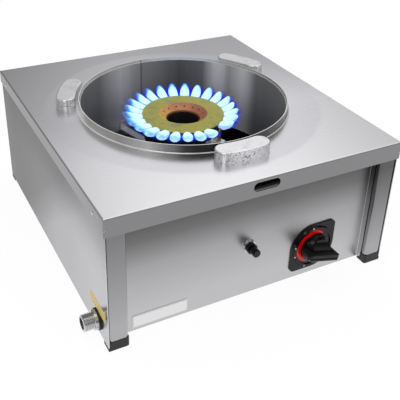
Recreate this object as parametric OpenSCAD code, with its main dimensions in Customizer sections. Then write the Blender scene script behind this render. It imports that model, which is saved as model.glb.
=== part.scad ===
// Table-top gas wok cooker: a folded stainless cabinet with one round burner well.
// Lengths are in millimetres, +Z is up and the controls face -Y.
// Every module is drawn about the axis of the well and then moved by place().

/* [Cabinet] */
// Width over the lid
body_w = 400; // [370:5:440]
// Depth over the lid
body_d = 430; // [410:5:480]
// Height of the lid's top face above the floor
body_h = 184; // [178:1:200]
// Thickness of the lid sheet
lid_sheet = 1.2; // [1:0.1:1.5]
// Thickness of the side skins
skin_sheet = 1; // [0.8:0.1:1.2]
// Thickness of the front, rear and bottom sheets
panel_sheet = 1.2; // [1:0.1:1.5]
// Height of the lid's front lip
front_lip = 24; // [20:1:28]
// Height of the lid's side and rear lips
side_lip = 18; // [14:1:19]
// Outer bend radius of the lid
lid_bend = 2; // [1.8:0.1:3]
// Length of the front lip's return round each corner
lip_return = 24; // [20:1:30]
// Height of the rivet heads on the side lips
rivet_h = 0.6; // [0.4:0.1:1.2]
// Gap between sheets that are not welded face to face
fit_gap = 0.3; // [0.2:0.05:0.4]
// Height of the skins' lower edge above the floor
skin_lift = 4.5; // [4:0.5:6]
// Length of the slot in the front lip
slot_len = 36; // [30:1:42]
// Height of the slot in the front lip
slot_high = 12; // [8:1:13]
// Distance of the slot's middle below the top face
slot_drop = 10.5; // [9.5:0.5:12]
// Overlap of the front lip over the front panel's upper edge
lip_overlap = 2; // [1:0.5:4]

/* [Legs] */
// Width of a leg's face
leg_face = 24; // [20:1:30]
// Thickness of the leg sheet
leg_sheet = 1.2; // [1:0.1:1.5]
// Outer bend radius of a leg
leg_bend = 4; // [3:0.5:5]
// Distance from the legs' faces to the front and rear panels
panel_recess = 15; // [12:1:18]
// Depth of the panels' turned side edges
panel_flange = 6.5; // [6:0.5:8]
// Gap between a panel's turned edge and the leg
panel_gap = 0.8; // [0.5:0.1:0.9]
// Width of the panels' turned bottom edges
bottom_flange = 14; // [10:1:20]
// Height of the foot caps' outer part
foot_h = 13; // [11:0.5:15]
// Height of the plug that stands up inside a leg
foot_plug = 18; // [12:1:24]
// Height of the bottom sheet's turned side edges
base_edge = 12; // [8:1:16]

/* [Well] */
// Inner radius of the well
well_r = 140; // [135:1:145]
// Wall of the well
well_wall = 1; // [0.8:0.1:1.5]
// Height of the well's edge above the lid
well_rise = 8; // [7:0.5:9]
// Depth of the well, edge to edge
well_depth = 104; // [96:1:109]
// Width of the collar's foot on the lid
collar_w = 4; // [4:0.5:5]
// Height of the collar that stands round the well's edge
collar_h = 12; // [11:0.5:13]
// Sheet of the collar
collar_sheet = 1.2; // [1:0.1:1.5]
// Bend radius of the collar
collar_bend = 2; // [1.5:0.1:2.5]
// Height of the wok supports above the lid
support_h = 14; // [13.5:0.5:16]
// Length of a wok support, end to end
support_len = 74; // [60:1:84]
// Width of a wok support
support_w = 26; // [22:1:28]
// Edge radius of a wok support
support_round = 2; // [1:0.5:3]
// Gap between a support and the collar's foot
support_gap = 1; // [0.6:0.2:4]

/* [Burner] */
// Height of the burner plate's top face
burner_top = 169.5; // [164:0.5:172]
// Radius of the burner plate
burner_r = 57; // [55:1:60]
// Radius where the plate turns down into the middle
cone_r = 33.7; // [32:0.1:35]
// Radius at the foot of the inner cone
cone_foot_r = 23.7; // [23:0.1:25]
// Drop of the inner cone
cone_drop = 7.5; // [6:0.5:9]
// Thickness of the burner plate
plate_t = 2.4; // [2:0.2:3]
// Number of flame ports round the outside
port_count = 25; // [20:1:28]
// Width of an outer flame port
port_w = 5; // [4:0.5:6]
// Depth of an outer flame port
port_deep = 4; // [3:0.5:5]
// Number of flame holes in the inner cone
hole_count = 15; // [12:1:18]
// Radius of a hole in the inner cone
hole_r = 1.2; // [0.8:0.1:1.5]
// Overhang of the burner plate past the burner body
plate_over = 3; // [2:0.5:4]
// Height of the burner body's casting
casting_h = 34; // [30:1:40]
// Wall of the casting
casting_wall = 4; // [3:0.5:5]
// Radius of the air hole in the middle of the casting
air_hole_r = 21.5; // [20:0.5:22]
// Angle of the feed pipe round the burner
feed_angle = -60; // [-66:1:-58]
// Outer radius of the mixing tube
tube_r = 13; // [12:0.5:14]
// Bore radius of the mixing tube
tube_bore = 10; // [8:0.5:11]
// Outer radius of the mixing tube's mouth
mouth_r = 17; // [16:0.5:18]
// Distance from the front panel to the mixing tube's mouth
mouth_back = 42; // [40:1:48]
// Length of the mouth's cylindrical part
mouth_len = 18; // [16:1:22]
// Width of a stand strap
strap_w = 12; // [10:1:16]
// Thickness of a stand strap
strap_t = 2; // [1.5:0.5:3]
// Height of the stand straps above the lower edge of the well
strap_rise = 1; // [0:0.5:3]

/* [Controls] */
// Distance of the knob's axis right of the middle
knob_x = 90; // [78:1:95]
// Height of the knob's axis
knob_z = 48; // [48:1:58]
// Side of the square that the bezel fills
bezel_side = 66; // [64:1:72]
// Thickness of the bezel plate
bezel_t = 2; // [1.5:0.5:3]
// Radius of the bezel's raised ring
dish_r = 31; // [29.5:0.5:31]
// Radius of the red band's outer edge
band_r = 25; // [24:0.5:26]
// Height of the bezel's raised ring
dish_h = 2.5; // [2:0.5:3]
// Radius of the knob's skirt
knob_r = 20; // [18:0.5:22]
// Length of the knob's grip bar
grip_len = 48; // [44:1:52]
// Thickness of the grip bar at its front
grip_t = 11; // [9:0.5:13]
// Height of the knob from skirt to grip front
knob_h = 24; // [22:1:27]
// Height of the knob's skirt
skirt_h = 8; // [6:0.5:9]
// Radius of the knob's hub at its front
hub_r = 15.5; // [13:0.5:16]
// Edge radius of the grip's front
grip_round = 2; // [1:0.5:2.5]
// Turn of the grip below the level at full flame
grip_turn = 15; // [0:1:20]
// Travel of the knob when it is pushed in
knob_push = 3; // [2:0.5:3.5]
// Radius of the valve spindle
spindle_r = 4; // [3:0.5:4.5]
// Running clearance on the radius of turning and sliding parts
run_fit = 0.06; // [0.03:0.01:0.09]
// Radius of the valve body's barrel
valve_r = 14; // [13:0.5:15]
// Length of the valve body
valve_len = 36; // [34:1:42]
// Distance of the igniter's axis from the middle
igniter_x = -8; // [-12:1:-6]
// Height of the igniter's axis
igniter_z = 79; // [74:1:90]
// Radius of the igniter's body
igniter_r = 7; // [6.5:0.5:8]
// Radius of the igniter's button
button_r = 5.2; // [4.5:0.1:5.6]
// Travel of the igniter's button
button_push = 6; // [4:0.5:7]
// How far the button stands out in front of the panel
button_out = 20; // [18:1:22]
// Radius of the chrome collar round the igniter
ring_nut_r = 9; // [8.5:0.5:10]

/* [Gas] */
// Distance of the gas inlet behind the legs' front faces
inlet_back = 33; // [30:1:34]
// Height of the gas inlet above the floor
inlet_z = 23; // [21:1:24]
// Radius of the inlet's G1/2 thread
thread_r = 10.475; // [10.475:0.001:10.478]
// Length of the inlet's thread
thread_len = 13; // [11:1:16]
// Radius of the inlet's shoulder
shoulder_r = 12.5; // [12:0.5:13]
// Length of the inlet's shoulder
shoulder_len = 4.5; // [4:0.5:6]
// Thickness of the seal between shoulder and skin
seal_t = 2.5; // [2:0.5:3]
// Radius of the seal
seal_r = 13.5; // [13:0.5:14.5]
// Bore radius of the inlet
inlet_bore = 7.5; // [6:0.5:8]
// Radius of the inlet pipe
feed_r = 5; // [4:0.5:6]
// Bend radius of the inlet pipe
feed_bend = 10; // [9:1:11]
// Radius of the pipe from valve to injector
supply_r = 4; // [3:0.5:4.5]
// Bore radius of the injector
jet_r = 0.7; // [0.5:0.1:1]

/* [Hidden] */
$fn = 96;
half_w = body_w / 2;
half_d = body_d / 2;
// Outer and inner faces of the side skins
skin_x = half_w - lid_sheet - fit_gap;
skin_in = skin_x - skin_sheet;
// Faces of the legs and the panels, as distances from the middle
leg_y = half_d - lid_sheet - fit_gap;
leg_in = skin_in - leg_face;
panel_y = leg_y - panel_recess;
panel_in = panel_y - panel_sheet;
panel_x = leg_in - panel_gap;
lid_under = body_h - lid_sheet;
frame_top = lid_under - fit_gap;
front_panel_top = body_h - front_lip + lip_overlap;
// Bottom sheet rests on the panels' turned bottom edges
base_z = skin_lift + panel_sheet;
base_top = base_z + panel_sheet;
foot_proud = 0.5;
foot_in = panel_x + fit_gap;
foot_back = panel_y - fit_gap;
// Well and collar
well_top = body_h + well_rise;
well_low = well_top - well_depth;
well_out = well_r + well_wall;
collar_in = well_out + fit_gap;
collar_out = collar_in + collar_w;
support_in = collar_out + support_gap;
support_mid = support_in + support_w / 2;
support_angles = [30, 150, 270];
support_sweep = (support_len - support_w) / support_mid * 180 / PI;
screw_r = 2.5;
screw_head_r = 4.5;
edge_screw_r = 1.8;
edge_head_r = 2.5;
rivet_in = 32;
support_tap = 7;
// Burner
body_r = burner_r - plate_over;
cone_foot_z = burner_top - cone_drop;
rim_z = burner_top - plate_t;
tube_top_z = cone_foot_z - plate_t;
floor_t = 5;
casting_z = rim_z - casting_h;
feed_pcd = (body_r - casting_wall + air_hole_r + casting_wall) / 2;
feed_x = feed_pcd * cos(feed_angle);
feed_y = feed_pcd * sin(feed_angle);
mixer_z = knob_z;
mouth_y = -panel_in + mouth_back;
feed_flange_t = 4;
feed_lug_r = 5.5;
feed_lug_at = tube_r + feed_lug_r;
strap_angles = [105, 225, 345];
strap_z = well_low + strap_rise;
strap_foot_r = 36;
strap_riser_r = body_r - casting_wall - 4;
strap_tab = 16;
end_plate_t = 2;
window_angle = 40;
shutter_wall = 1.2;
// Injector and its holder
holder_half = 9;
holder_len = 16;
jet_shank_r = 5;
jet_hex_r = 7;
jet_hex_len = 5;
supply_y = -panel_in + 22;
holder_y = supply_y - holder_len / 2;
// Valve
bonnet_t = 4;
bonnet_half = 22;
bonnet_screw = 17;
valve_y = -panel_in + bonnet_t;
valve_back = valve_y + valve_len;
sleeve_r = spindle_r + 2.4;
bore_end = valve_back - 6;
spindle_end = bore_end - knob_push - 1;
knob_gap = knob_push + 0.6;
knob_back = -panel_y - bezel_t - 1 - knob_gap;
knob_front = knob_back - knob_h;
spindle_front = knob_back - 9;
magnet_r = 9;
magnet_len = 24;
inlet_y = -leg_y + inlet_back;
// Igniter
ring_nut_len = 3.5;
igniter_front = -panel_y - ring_nut_len - 5.5;
igniter_len = 58;
button_front = -panel_y - button_out;
button_len = igniter_front - button_front + 8;
locknut_t = 4;
// Spark electrode and thermocouple beside the burner
probe_angle = -72;
probe_r = burner_r + 7;
probe_side = 6;
insulator_r = 3.5;
insulator_len = 34;
wire_r = 1;
sheath_r = 2.2;
bracket_z = rim_z - 20;
probe_low = bracket_z - 14;
// How far both leads run straight on from their ends before they bend
lead_bow = 45;
probe_bow = 60;
valve_bow = 70;
// Reach of the inlet and of the knob past the lid, which centre the whole object
inlet_reach = shoulder_len + seal_t + thread_len - (half_w - skin_x);
knob_reach = -knob_front - half_d;
origin_x = (inlet_reach - rivet_h) / 2;
origin_y = knob_reach / 2;

// Moves the model so that the middle of its bounding box is over the origin.
module place() {
    translate([origin_x, origin_y, 0]) children();
}

// A rod along Y from y0 to y1.
module rod_y(x, z, y0, y1, r) {
    translate([x, y0, z]) rotate([-90, 0, 0]) cylinder(h = y1 - y0, r = r);
}

// A rod along X from x0 to x1.
module rod_x(y, z, x0, x1, r) {
    translate([x0, y, z]) rotate([0, 90, 0]) cylinder(h = x1 - x0, r = r);
}

// A block given by its lowest and highest corners.
module block(low, high) {
    translate(low) cube(high - low);
}

// A square with its two upper corners rounded, from 0 down to -high.
module capped_rect(wide, high, r) {
    translate([-wide / 2, -high]) square([wide, high - r]);
    translate([-wide / 2 + r, -high]) square([wide - 2 * r, high]);
    for (side = [-1, 1]) translate([side * (wide / 2 - r), -r]) circle(r);
}

// A solid lid blank whose four upper edges are bent round.
module lid_blank(wide, deep, high, r) {
    intersection() {
        rotate([90, 0, 0]) linear_extrude(deep, center = true) capped_rect(wide, high, r);
        rotate([90, 0, 90]) linear_extrude(wide, center = true) capped_rect(deep, high, r);
    }
}

// Trims the lips: the sides hang less than the front, with a sloped return.
module lip_trim() {
    low = front_lip + 1;
    back_y = -half_d + lip_return;
    for (side = [-1, 1])
        translate([side * half_w, 0, body_h])
            rotate([90, 0, 90])
                linear_extrude(4 * lid_bend, center = true)
                    polygon([
                        [-half_d - 1, -low], [half_d + 1, -low],
                        [half_d + 1, -side_lip], [back_y, -side_lip],
                        [-half_d + 0.01, -front_lip], [-half_d - 1, -front_lip]
                    ]);
    block(
        [-half_w - 1, half_d - 2 * lid_bend, body_h - low],
        [half_w + 1, half_d + 1, body_h - side_lip]
    );
}

// The mitre line between a side lip and the front lip's return.
module mitre_slits() {
    for (side = [-1, 1])
        translate([side * half_w, -half_d + 10, body_h - 3])
            rotate([-40, 0, 0])
                translate([-2 * lid_sheet, -0.25, -30])
                    cube([4 * lid_sheet, 0.5, 30]);
}

module top_panel() {
    color("gainsboro") place() difference() {
        translate([0, 0, body_h]) lid_blank(body_w, body_d, front_lip, lid_bend);
        translate([0, 0, lid_under])
            lid_blank(
                body_w - 2 * lid_sheet, body_d - 2 * lid_sheet,
                front_lip, lid_bend - lid_sheet
            );
        lip_trim();
        mitre_slits();
        translate([0, 0, body_h - 5]) cylinder(h = 10, r = well_out + 2 * fit_gap, $fn = 180);
        translate([0, -half_d, body_h - slot_drop]) rotate([90, 0, 0])
            linear_extrude(6, center = true) {
                square([slot_len - slot_high, slot_high], center = true);
                for (side = [-1, 1])
                    translate([side * (slot_len - slot_high) / 2, 0]) circle(slot_high / 2);
            }
        for (angle = support_angles) rotate([0, 0, angle]) support_holes(screw_r + 0.3);
    }
}

// The two fixing holes below one wok support, at angle zero.
module support_holes(r) {
    for (side = [-1, 1])
        rotate([0, 0, side * support_sweep / 3])
            translate([support_mid, 0, body_h - 5]) cylinder(h = 10, r = r);
}

// One side skin, drawn at the right.
module side_skin() {
    block([skin_in, -leg_y, skin_lift], [skin_x, leg_y, frame_top]);
}

module right_side_panel() {
    color("silver") place() side_skin();
}

module left_side_panel() {
    color("silver") place() difference() {
        mirror([1, 0, 0]) side_skin();
        rod_x(inlet_y, inlet_z, -skin_x - 1, -skin_in + 1, thread_r + fit_gap);
    }
}

// Plan outline of one folded leg, for the front right corner.
module leg_outline() {
    wide = leg_face;
    deep = panel_recess;
    difference() {
        leg_blank(wide, deep, leg_bend);
        translate([leg_sheet, leg_sheet])
            leg_blank(wide - 2 * leg_sheet, deep, leg_bend - leg_sheet);
    }
}

// A rectangle from the origin with its two front corners rounded.
module leg_blank(wide, deep, r) {
    translate([0, r]) square([wide, deep - r]);
    translate([r, 0]) square([wide - 2 * r, deep]);
    for (x = [r, wide - r]) translate([x, r]) circle(r, $fn = 48);
}

module leg() {
    translate([leg_in, -leg_y, foot_h]) linear_extrude(frame_top - foot_h) leg_outline();
}

module front_right_leg() {
    color("darkgray") place() leg();
}

module front_left_leg() {
    color("darkgray") place() mirror([1, 0, 0]) leg();
}

module rear_right_leg() {
    color("darkgray") place() difference() {
        mirror([0, 1, 0]) leg();
        rear_fixing_holes();
    }
}

module rear_left_leg() {
    color("darkgray") place() difference() {
        mirror([0, 1, 0]) mirror([1, 0, 0]) leg();
        rear_fixing_holes();
    }
}

// One foot cap for the front right leg, with its plug.
module foot() {
    plug_in = leg_sheet + fit_gap;
    low = skin_lift - fit_gap;
    difference() {
        union() {
            block(
                [foot_in, -leg_y - foot_proud, 0],
                [skin_x, -foot_back, low]
            );
            block(
                [foot_in, -leg_y - foot_proud, low],
                [skin_in - fit_gap, -foot_back, foot_h]
            );
            translate([leg_in + plug_in, -leg_y + plug_in, foot_h])
                linear_extrude(foot_plug)
                    leg_blank(
                        leg_face - 2 * plug_in, leg_y - plug_in - foot_back,
                        leg_bend - plug_in
                    );
        }
        translate([foot_in, -leg_y - foot_proud, 0]) rotate([0, 0, 45])
            cube([2.4, 2.4, 3 * foot_h], center = true);
    }
}

module front_right_foot() {
    color("black") place() foot();
}

module front_left_foot() {
    color("black") place() mirror([1, 0, 0]) foot();
}

module rear_right_foot() {
    color("black") place() mirror([0, 1, 0]) foot();
}

module rear_left_foot() {
    color("black") place() mirror([0, 1, 0]) mirror([1, 0, 0]) foot();
}

// A panel with turned side edges and a turned bottom edge, drawn at the front.
module folded_panel(top) {
    r = 2;
    difference() {
        translate([0, 0, skin_lift]) linear_extrude(top - skin_lift)
            panel_outline(r);
        for (side = [-1, 1])
            translate([side * panel_x, -panel_y - panel_flange, skin_lift])
                rotate([0, 90, 0]) difference() {
                    cube([2 * panel_flange, 2 * panel_flange, 8], center = true);
                    translate([-panel_flange, panel_flange, 0])
                        cylinder(h = 9, r = panel_flange, center = true, $fn = 48);
                }
    }
    block(
        [-panel_x + r, -panel_in - 0.01, skin_lift],
        [panel_x - r, -panel_in + bottom_flange, skin_lift + panel_sheet]
    );
}

// Plan outline of a folded panel.
module panel_outline(r) {
    wide = 2 * panel_x;
    deep = panel_flange + panel_sheet;
    translate([-panel_x, -panel_in]) mirror([0, 1]) difference() {
        leg_blank(wide, deep, r);
        translate([panel_sheet, panel_sheet])
            leg_blank(wide - 2 * panel_sheet, deep, r - panel_sheet);
    }
}

module front_panel() {
    color("silver") place() difference() {
        folded_panel(front_panel_top);
        rod_y(knob_x, knob_z, -panel_y - 1, -panel_in + 1, sleeve_r + 2);
        rod_y(igniter_x, igniter_z, -panel_y - 1, -panel_in + 1, igniter_r + fit_gap);
        for (side = [-1, 1])
            rod_y(knob_x, knob_z + side * bonnet_screw, -panel_y - 1, -panel_in + 1, screw_r);
    }
}

module rear_panel() {
    vent_w = 24;
    vent_pitch = 34;
    color("silver") place() difference() {
        mirror([0, 1, 0]) folded_panel(frame_top);
        rear_fixing_holes();
        for (row = [0:2], step = [-4:4])
            translate([step * vent_pitch, panel_y, body_h * 0.6 + row * 14])
                cube([vent_w, 4 * panel_sheet, 5], center = true);
    }
}

module base_plate() {
    slot_w = 60;
    color("dimgray") place() difference() {
        union() {
            block([-skin_in, -panel_in, base_z], [skin_in, panel_in, base_top]);
            for (side = [-1, 1])
                translate([side * (skin_in - panel_sheet / 2), 0, base_z + base_edge / 2])
                    cube([panel_sheet, 2 * panel_in, base_edge], center = true);
        }
        block(
            [-skin_in - 1, inlet_y - seal_r - 5, base_top],
            [-skin_in + 3, inlet_y + seal_r + 5, base_z + base_edge + 1]
        );
        for (row = [-3:3], side = [-1, 1])
            translate([side * slot_w * 0.7, row * 22 + 20, base_z])
                cube([slot_w, 8, 6], center = true);
    }
}

// Four rivets that close the lid's corners on the side lips.
module lid_rivets() {
    color("silver") place()
        for (side = [-1, 1], y = [-half_d + rivet_in, half_d - rivet_in])
            translate([side * half_w, y, body_h - side_lip * 0.6])
                rotate([0, side * 90, 0]) cylinder(h = rivet_h, r1 = 2.6, r2 = 1.8, $fn = 32);
}

// Screws that hold the rear panel's turned edges to the rear legs.
module rear_screws() {
    color("silver") place() {
        at_rear_fixings() {
            translate([0, 0, -edge_screw_r]) cylinder(h = edge_screw_r, r = edge_head_r, $fn = 32);
            cylinder(h = 2 * panel_sheet + panel_gap + 3, r = edge_screw_r, $fn = 32);
        }
    }
}

// Puts a screw, drawn along +Z, at each fixing of the rear panel.
module at_rear_fixings() {
    for (side = [-1, 1], z = [body_h * 0.3, body_h * 0.75])
        translate([
            side * (panel_x - panel_sheet),
            panel_y + panel_flange - edge_head_r - fit_gap, z
        ])
            rotate([0, side * 90, 0]) children();
}

// Holes for the rear panel's screws.
module rear_fixing_holes() {
    at_rear_fixings() translate([0, 0, -1]) cylinder(h = 8, r = edge_screw_r + 0.1, $fn = 32);
}

module well_liner() {
    seam = 0.5;
    color("slategray") place() difference() {
        translate([0, 0, well_low]) cylinder(h = well_depth, r = well_out, $fn = 180);
        translate([0, 0, well_low - 1]) cylinder(h = well_depth + 2, r = well_r, $fn = 180);
        block(
            [-seam / 2, well_r - 1, well_low - 1],
            [seam / 2, well_r + well_wall / 2, well_top + 1]
        );
    }
}

module well_collar() {
    t = collar_sheet;
    r = collar_bend;
    up = collar_in + t;
    color("lightgray") place() rotate_extrude($fn = 180) {
        difference() {
            translate([collar_in, body_h]) square([t + r, collar_h]);
            translate([up + r, body_h + t + r]) circle(r, $fn = 48);
            translate([up, body_h + t + r]) square([t + r, collar_h]);
        }
        translate([up + r, body_h]) square([collar_out - up - r, t]);
    }
}

// Section of a wok support, for turning: square foot and rounded upper edges.
module support_section(half_only) {
    r = support_round;
    low = half_only ? 0 : -support_w / 2;
    translate([low, 0]) square([support_w / 2 - low, support_h - r]);
    translate([half_only ? 0 : low + r, 0])
        square([support_w / 2 - r - (half_only ? 0 : low + r), support_h]);
    for (x = half_only ? [support_w / 2 - r] : [low + r, support_w / 2 - r])
        translate([x, support_h - r]) circle(r, $fn = 32);
}

// A curved wok support round the well at angle zero.
module wok_support() {
    difference() {
        translate([0, 0, body_h]) for (side = [0, 1])
            mirror([0, side, 0]) rotate([0, 0, -support_sweep / 2]) {
                rotate_extrude(angle = support_sweep * 0.6, $fn = 180)
                    translate([support_mid, 0]) support_section(false);
                translate([support_mid, 0, 0]) rotate([0, 0, 180])
                    rotate_extrude(angle = 180, $fn = 64) support_section(true);
            }
        for (side = [-1, 1])
            rotate([0, 0, side * support_sweep / 3])
                translate([support_mid, 0, body_h - 1])
                    cylinder(h = support_tap + 1, r = screw_r);
    }
}

module wok_support_right() {
    color("whitesmoke") place() rotate([0, 0, support_angles[0]]) wok_support();
}

module wok_support_left() {
    color("whitesmoke") place() rotate([0, 0, support_angles[1]]) wok_support();
}

module wok_support_front() {
    color("whitesmoke") place() rotate([0, 0, support_angles[2]]) wok_support();
}

// Screws that hold the wok supports from below the lid.
module support_screws() {
    color("silver") place()
        for (angle = support_angles, side = [-1, 1])
            rotate([0, 0, angle + side * support_sweep / 3])
                translate([support_mid, 0, 0]) {
                    translate([0, 0, lid_under - 3]) cylinder(h = 3, r = screw_head_r, $fn = 6);
                    translate([0, 0, lid_under - 0.5])
                        cylinder(h = lid_sheet + support_tap - 1, r = screw_r - 0.1);
                }
}

// Three bent straps that carry the burner from the wall of the well.
module burner_stand() {
    outer = well_r - fit_gap;
    color("darkgray") place() difference() {
        for (angle = strap_angles)
            rotate([90, 0, angle])
                linear_extrude(strap_w, center = true)
                    polygon([
                        [strap_riser_r - strap_tab, casting_z],
                        [strap_riser_r, casting_z],
                        [strap_riser_r, strap_z + strap_t],
                        [outer - strap_t, strap_z + strap_t],
                        [outer - strap_t, strap_z + 14],
                        [outer, strap_z + 14],
                        [outer, strap_z],
                        [strap_riser_r - strap_t, strap_z],
                        [strap_riser_r - strap_t, casting_z - strap_t],
                        [strap_riser_r - strap_tab, casting_z - strap_t]
                    ]);
        at_straps() translate([0, 0, -strap_t - 1]) cylinder(h = strap_t + 2, r = screw_r);
    }
}

// Puts a screw at the middle of each strap's end, under the casting.
module at_straps() {
    for (angle = strap_angles)
        rotate([0, 0, angle])
            translate([strap_riser_r - (strap_tab + strap_t) / 2, 0, casting_z]) children();
}

// Screws that hold the burner's casting on its straps.
module stand_screws() {
    color("silver") place() at_straps() {
        translate([0, 0, -strap_t - 3.5]) cylinder(h = 3.5, r = screw_head_r, $fn = 6);
        translate([0, 0, -strap_t - 0.5]) cylinder(h = strap_t + 4, r = screw_r - 0.1);
    }
}

// Ring-shaped casting that holds the gas below the burner plate.
module burner_body() {
    pitch = 360 / port_count;
    color("dimgray") place() difference() {
        union() {
            translate([0, 0, casting_z]) cylinder(h = rim_z - casting_z, r = body_r);
        }
        translate([0, 0, casting_z + floor_t])
            difference() {
                cylinder(h = casting_h, r = body_r - casting_wall);
                translate([0, 0, -1]) cylinder(h = casting_h + 2, r = air_hole_r + casting_wall);
            }
        translate([0, 0, casting_z - 1]) cylinder(h = casting_h + 2, r = air_hole_r);
        translate([0, 0, tube_top_z])
            cylinder(h = casting_h, r = air_hole_r + casting_wall + 0.5);
        for (step = [0:port_count - 1])
            rotate([0, 0, step * pitch])
                translate([body_r - casting_wall - 1, -port_w / 2, rim_z - port_deep])
                    cube([casting_wall + 2, port_w, port_deep + 1]);
        translate([feed_x, feed_y, casting_z - 1]) cylinder(h = floor_t + 2, r = tube_bore);
        at_straps() translate([0, 0, -1]) cylinder(h = floor_t, r = screw_r);
        at_flange_screws() translate([0, 0, -1]) cylinder(h = floor_t, r = screw_r);
    }
}

// The burner plate: a flat ring that turns down into a drilled cone.
module burner_cap() {
    lean = atan2(cone_r - cone_foot_r, cone_drop);
    mid_r = (cone_r + cone_foot_r) / 2;
    mid_z = burner_top - cone_drop / 2;
    color("darkkhaki") place() difference() {
        rotate_extrude()
            polygon([
                [cone_foot_r, tube_top_z], [cone_foot_r, cone_foot_z],
                [cone_r, burner_top], [burner_r - 1, burner_top],
                [burner_r, burner_top - 1], [burner_r, rim_z],
                [cone_r + plate_t, rim_z],
                [cone_foot_r + plate_t, tube_top_z]
            ]);
        for (step = [0:hole_count - 1])
            rotate([0, 0, (step + 0.5) * 360 / hole_count])
                translate([mid_r, 0, mid_z]) rotate([0, lean - 90, 0])
                    cylinder(h = 12, r = hole_r, center = true, $fn = 20);
        rotate([0, 0, 195]) translate([burner_r * 0.9, 0, burner_top - 1])
            cylinder(h = 2, r = 1.3, $fn = 24);
    }
}

// Cast mixing tube: mouth with air windows, throat, bend and flange.
module mixing_tube() {
    throat_y = mouth_y + mouth_len;
    cone_y = throat_y + 14;
    elbow = 20;
    color("gray") place() difference() {
        union() {
            rod_y(feed_x, mixer_z, mouth_y, throat_y, mouth_r);
            translate([feed_x, throat_y, mixer_z]) rotate([-90, 0, 0])
                cylinder(h = cone_y - throat_y, r1 = mouth_r, r2 = tube_r);
            rod_y(feed_x, mixer_z, cone_y - 0.01, feed_y - elbow, tube_r);
            translate([feed_x, feed_y - elbow, mixer_z + elbow]) rotate([0, 90, 0])
                rotate_extrude(angle = 90) translate([elbow, 0]) circle(tube_r);
            translate([feed_x, feed_y, mixer_z + elbow])
                cylinder(h = casting_z - mixer_z - elbow, r = tube_r);
            translate([feed_x, feed_y, casting_z - feed_flange_t]) rotate([0, 0, feed_angle])
                linear_extrude(feed_flange_t) feed_flange();
        }
        rod_y(feed_x, mixer_z, mouth_y + end_plate_t, throat_y, mouth_r - 2);
        rod_y(feed_x, mixer_z, mouth_y - 1, mouth_y + 5, jet_shank_r + fit_gap);
        rod_y(feed_x, mixer_z, throat_y - 1, feed_y - elbow, tube_bore);
        translate([feed_x, feed_y - elbow, mixer_z + elbow]) rotate([0, 90, 0])
            rotate_extrude(angle = 90) translate([elbow, 0]) circle(tube_bore);
        translate([feed_x, feed_y, mixer_z + elbow])
            cylinder(h = casting_z - mixer_z, r = tube_bore);
        air_windows(mouth_r + 1);
        at_flange_screws() translate([0, 0, -9]) cylinder(h = 10, r = screw_r);
    }
}

// Outline of the mixing tube's flange: a round plate with two lugs.
module feed_flange() {
    circle(tube_r + 2);
    square([2 * feed_lug_r, 2 * feed_lug_at], center = true);
    for (side = [-1, 1]) translate([0, side * feed_lug_at]) circle(feed_lug_r, $fn = 48);
}

// Puts a screw at each lug of the flange, at the casting's underside.
module at_flange_screws() {
    for (side = [-1, 1])
        rotate([0, 0, feed_angle]) translate([feed_pcd, side * feed_lug_at, casting_z]) children();
}

// Four sectors cut through a sleeve round the mixing tube's mouth.
module air_windows(reach) {
    gap = 5;
    half = reach * tan(window_angle / 2);
    for (turn = [45:90:315])
        translate([feed_x, mouth_y + gap, mixer_z]) rotate([-90, 0, 0])
            linear_extrude(mouth_len - 2 * gap) rotate([0, 0, turn])
                polygon([[0, 0], [1.3 * reach, -1.3 * half], [1.3 * reach, 1.3 * half]]);
}

// Screws through the mixing tube's flange.
module tube_screws() {
    color("silver") place() at_flange_screws() {
        translate([0, 0, -feed_flange_t - 3.5]) cylinder(h = 3.5, r = screw_head_r, $fn = 6);
        translate([0, 0, -feed_flange_t - 0.5]) cylinder(h = feed_flange_t + 4, r = screw_r - 0.1);
    }
}

// Sleeve that turns on the mouth and covers its air windows.
module air_shutter() {
    lug = 6;
    color("lightslategray") place() difference() {
        union() {
            rod_y(feed_x, mixer_z, mouth_y + 3, mouth_y + mouth_len - 1,
                mouth_r + run_fit + shutter_wall);
            translate([feed_x, mouth_y + 8, mixer_z + mouth_r + lug / 2])
                cube([2, 8, lug], center = true);
        }
        rod_y(feed_x, mixer_z, mouth_y + 2, mouth_y + mouth_len, mouth_r + run_fit);
        air_windows(mouth_r + shutter_wall + 2);
    }
}

// Brass jet that blows gas into the mixing tube.
module injector() {
    front = holder_y + holder_len;
    color("goldenrod") place() difference() {
        union() {
            translate([feed_x, front, mixer_z]) rotate([-90, 0, 0])
                cylinder(h = jet_hex_len, r = jet_hex_r, $fn = 6);
            rod_y(feed_x, mixer_z, front + jet_hex_len - 0.01, mouth_y + end_plate_t, jet_shank_r);
            translate([feed_x, mouth_y + end_plate_t - 0.01, mixer_z]) rotate([-90, 0, 0])
                cylinder(h = 4, r1 = jet_shank_r, r2 = 2.5);
        }
        rod_y(feed_x, mixer_z, front - 1, mouth_y + end_plate_t + 6, jet_r);
    }
}

module injector_holder() {
    color("goldenrod") place() {
        block(
            [feed_x - holder_half, holder_y, mixer_z - holder_half],
            [feed_x + holder_half, holder_y + holder_len, mixer_z + holder_half]
        );
        rod_x(supply_y, mixer_z, feed_x + holder_half - 0.01, feed_x + holder_half + 5, 6.5);
    }
}

// Bent strip that carries the injector's holder from the bottom sheet.
module holder_bracket() {
    top = mixer_z - holder_half;
    riser = holder_y + holder_len + 0.5;
    color("silver") place()
        translate([feed_x, 0, 0]) rotate([90, 0, 90])
            linear_extrude(2 * holder_half, center = true)
                polygon([
                    [holder_y, top], [riser + 2, top], [riser + 2, base_top + 2],
                    [riser + 16, base_top + 2], [riser + 16, base_top],
                    [riser, base_top], [riser, top - 2], [holder_y, top - 2]
                ]);
}

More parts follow.
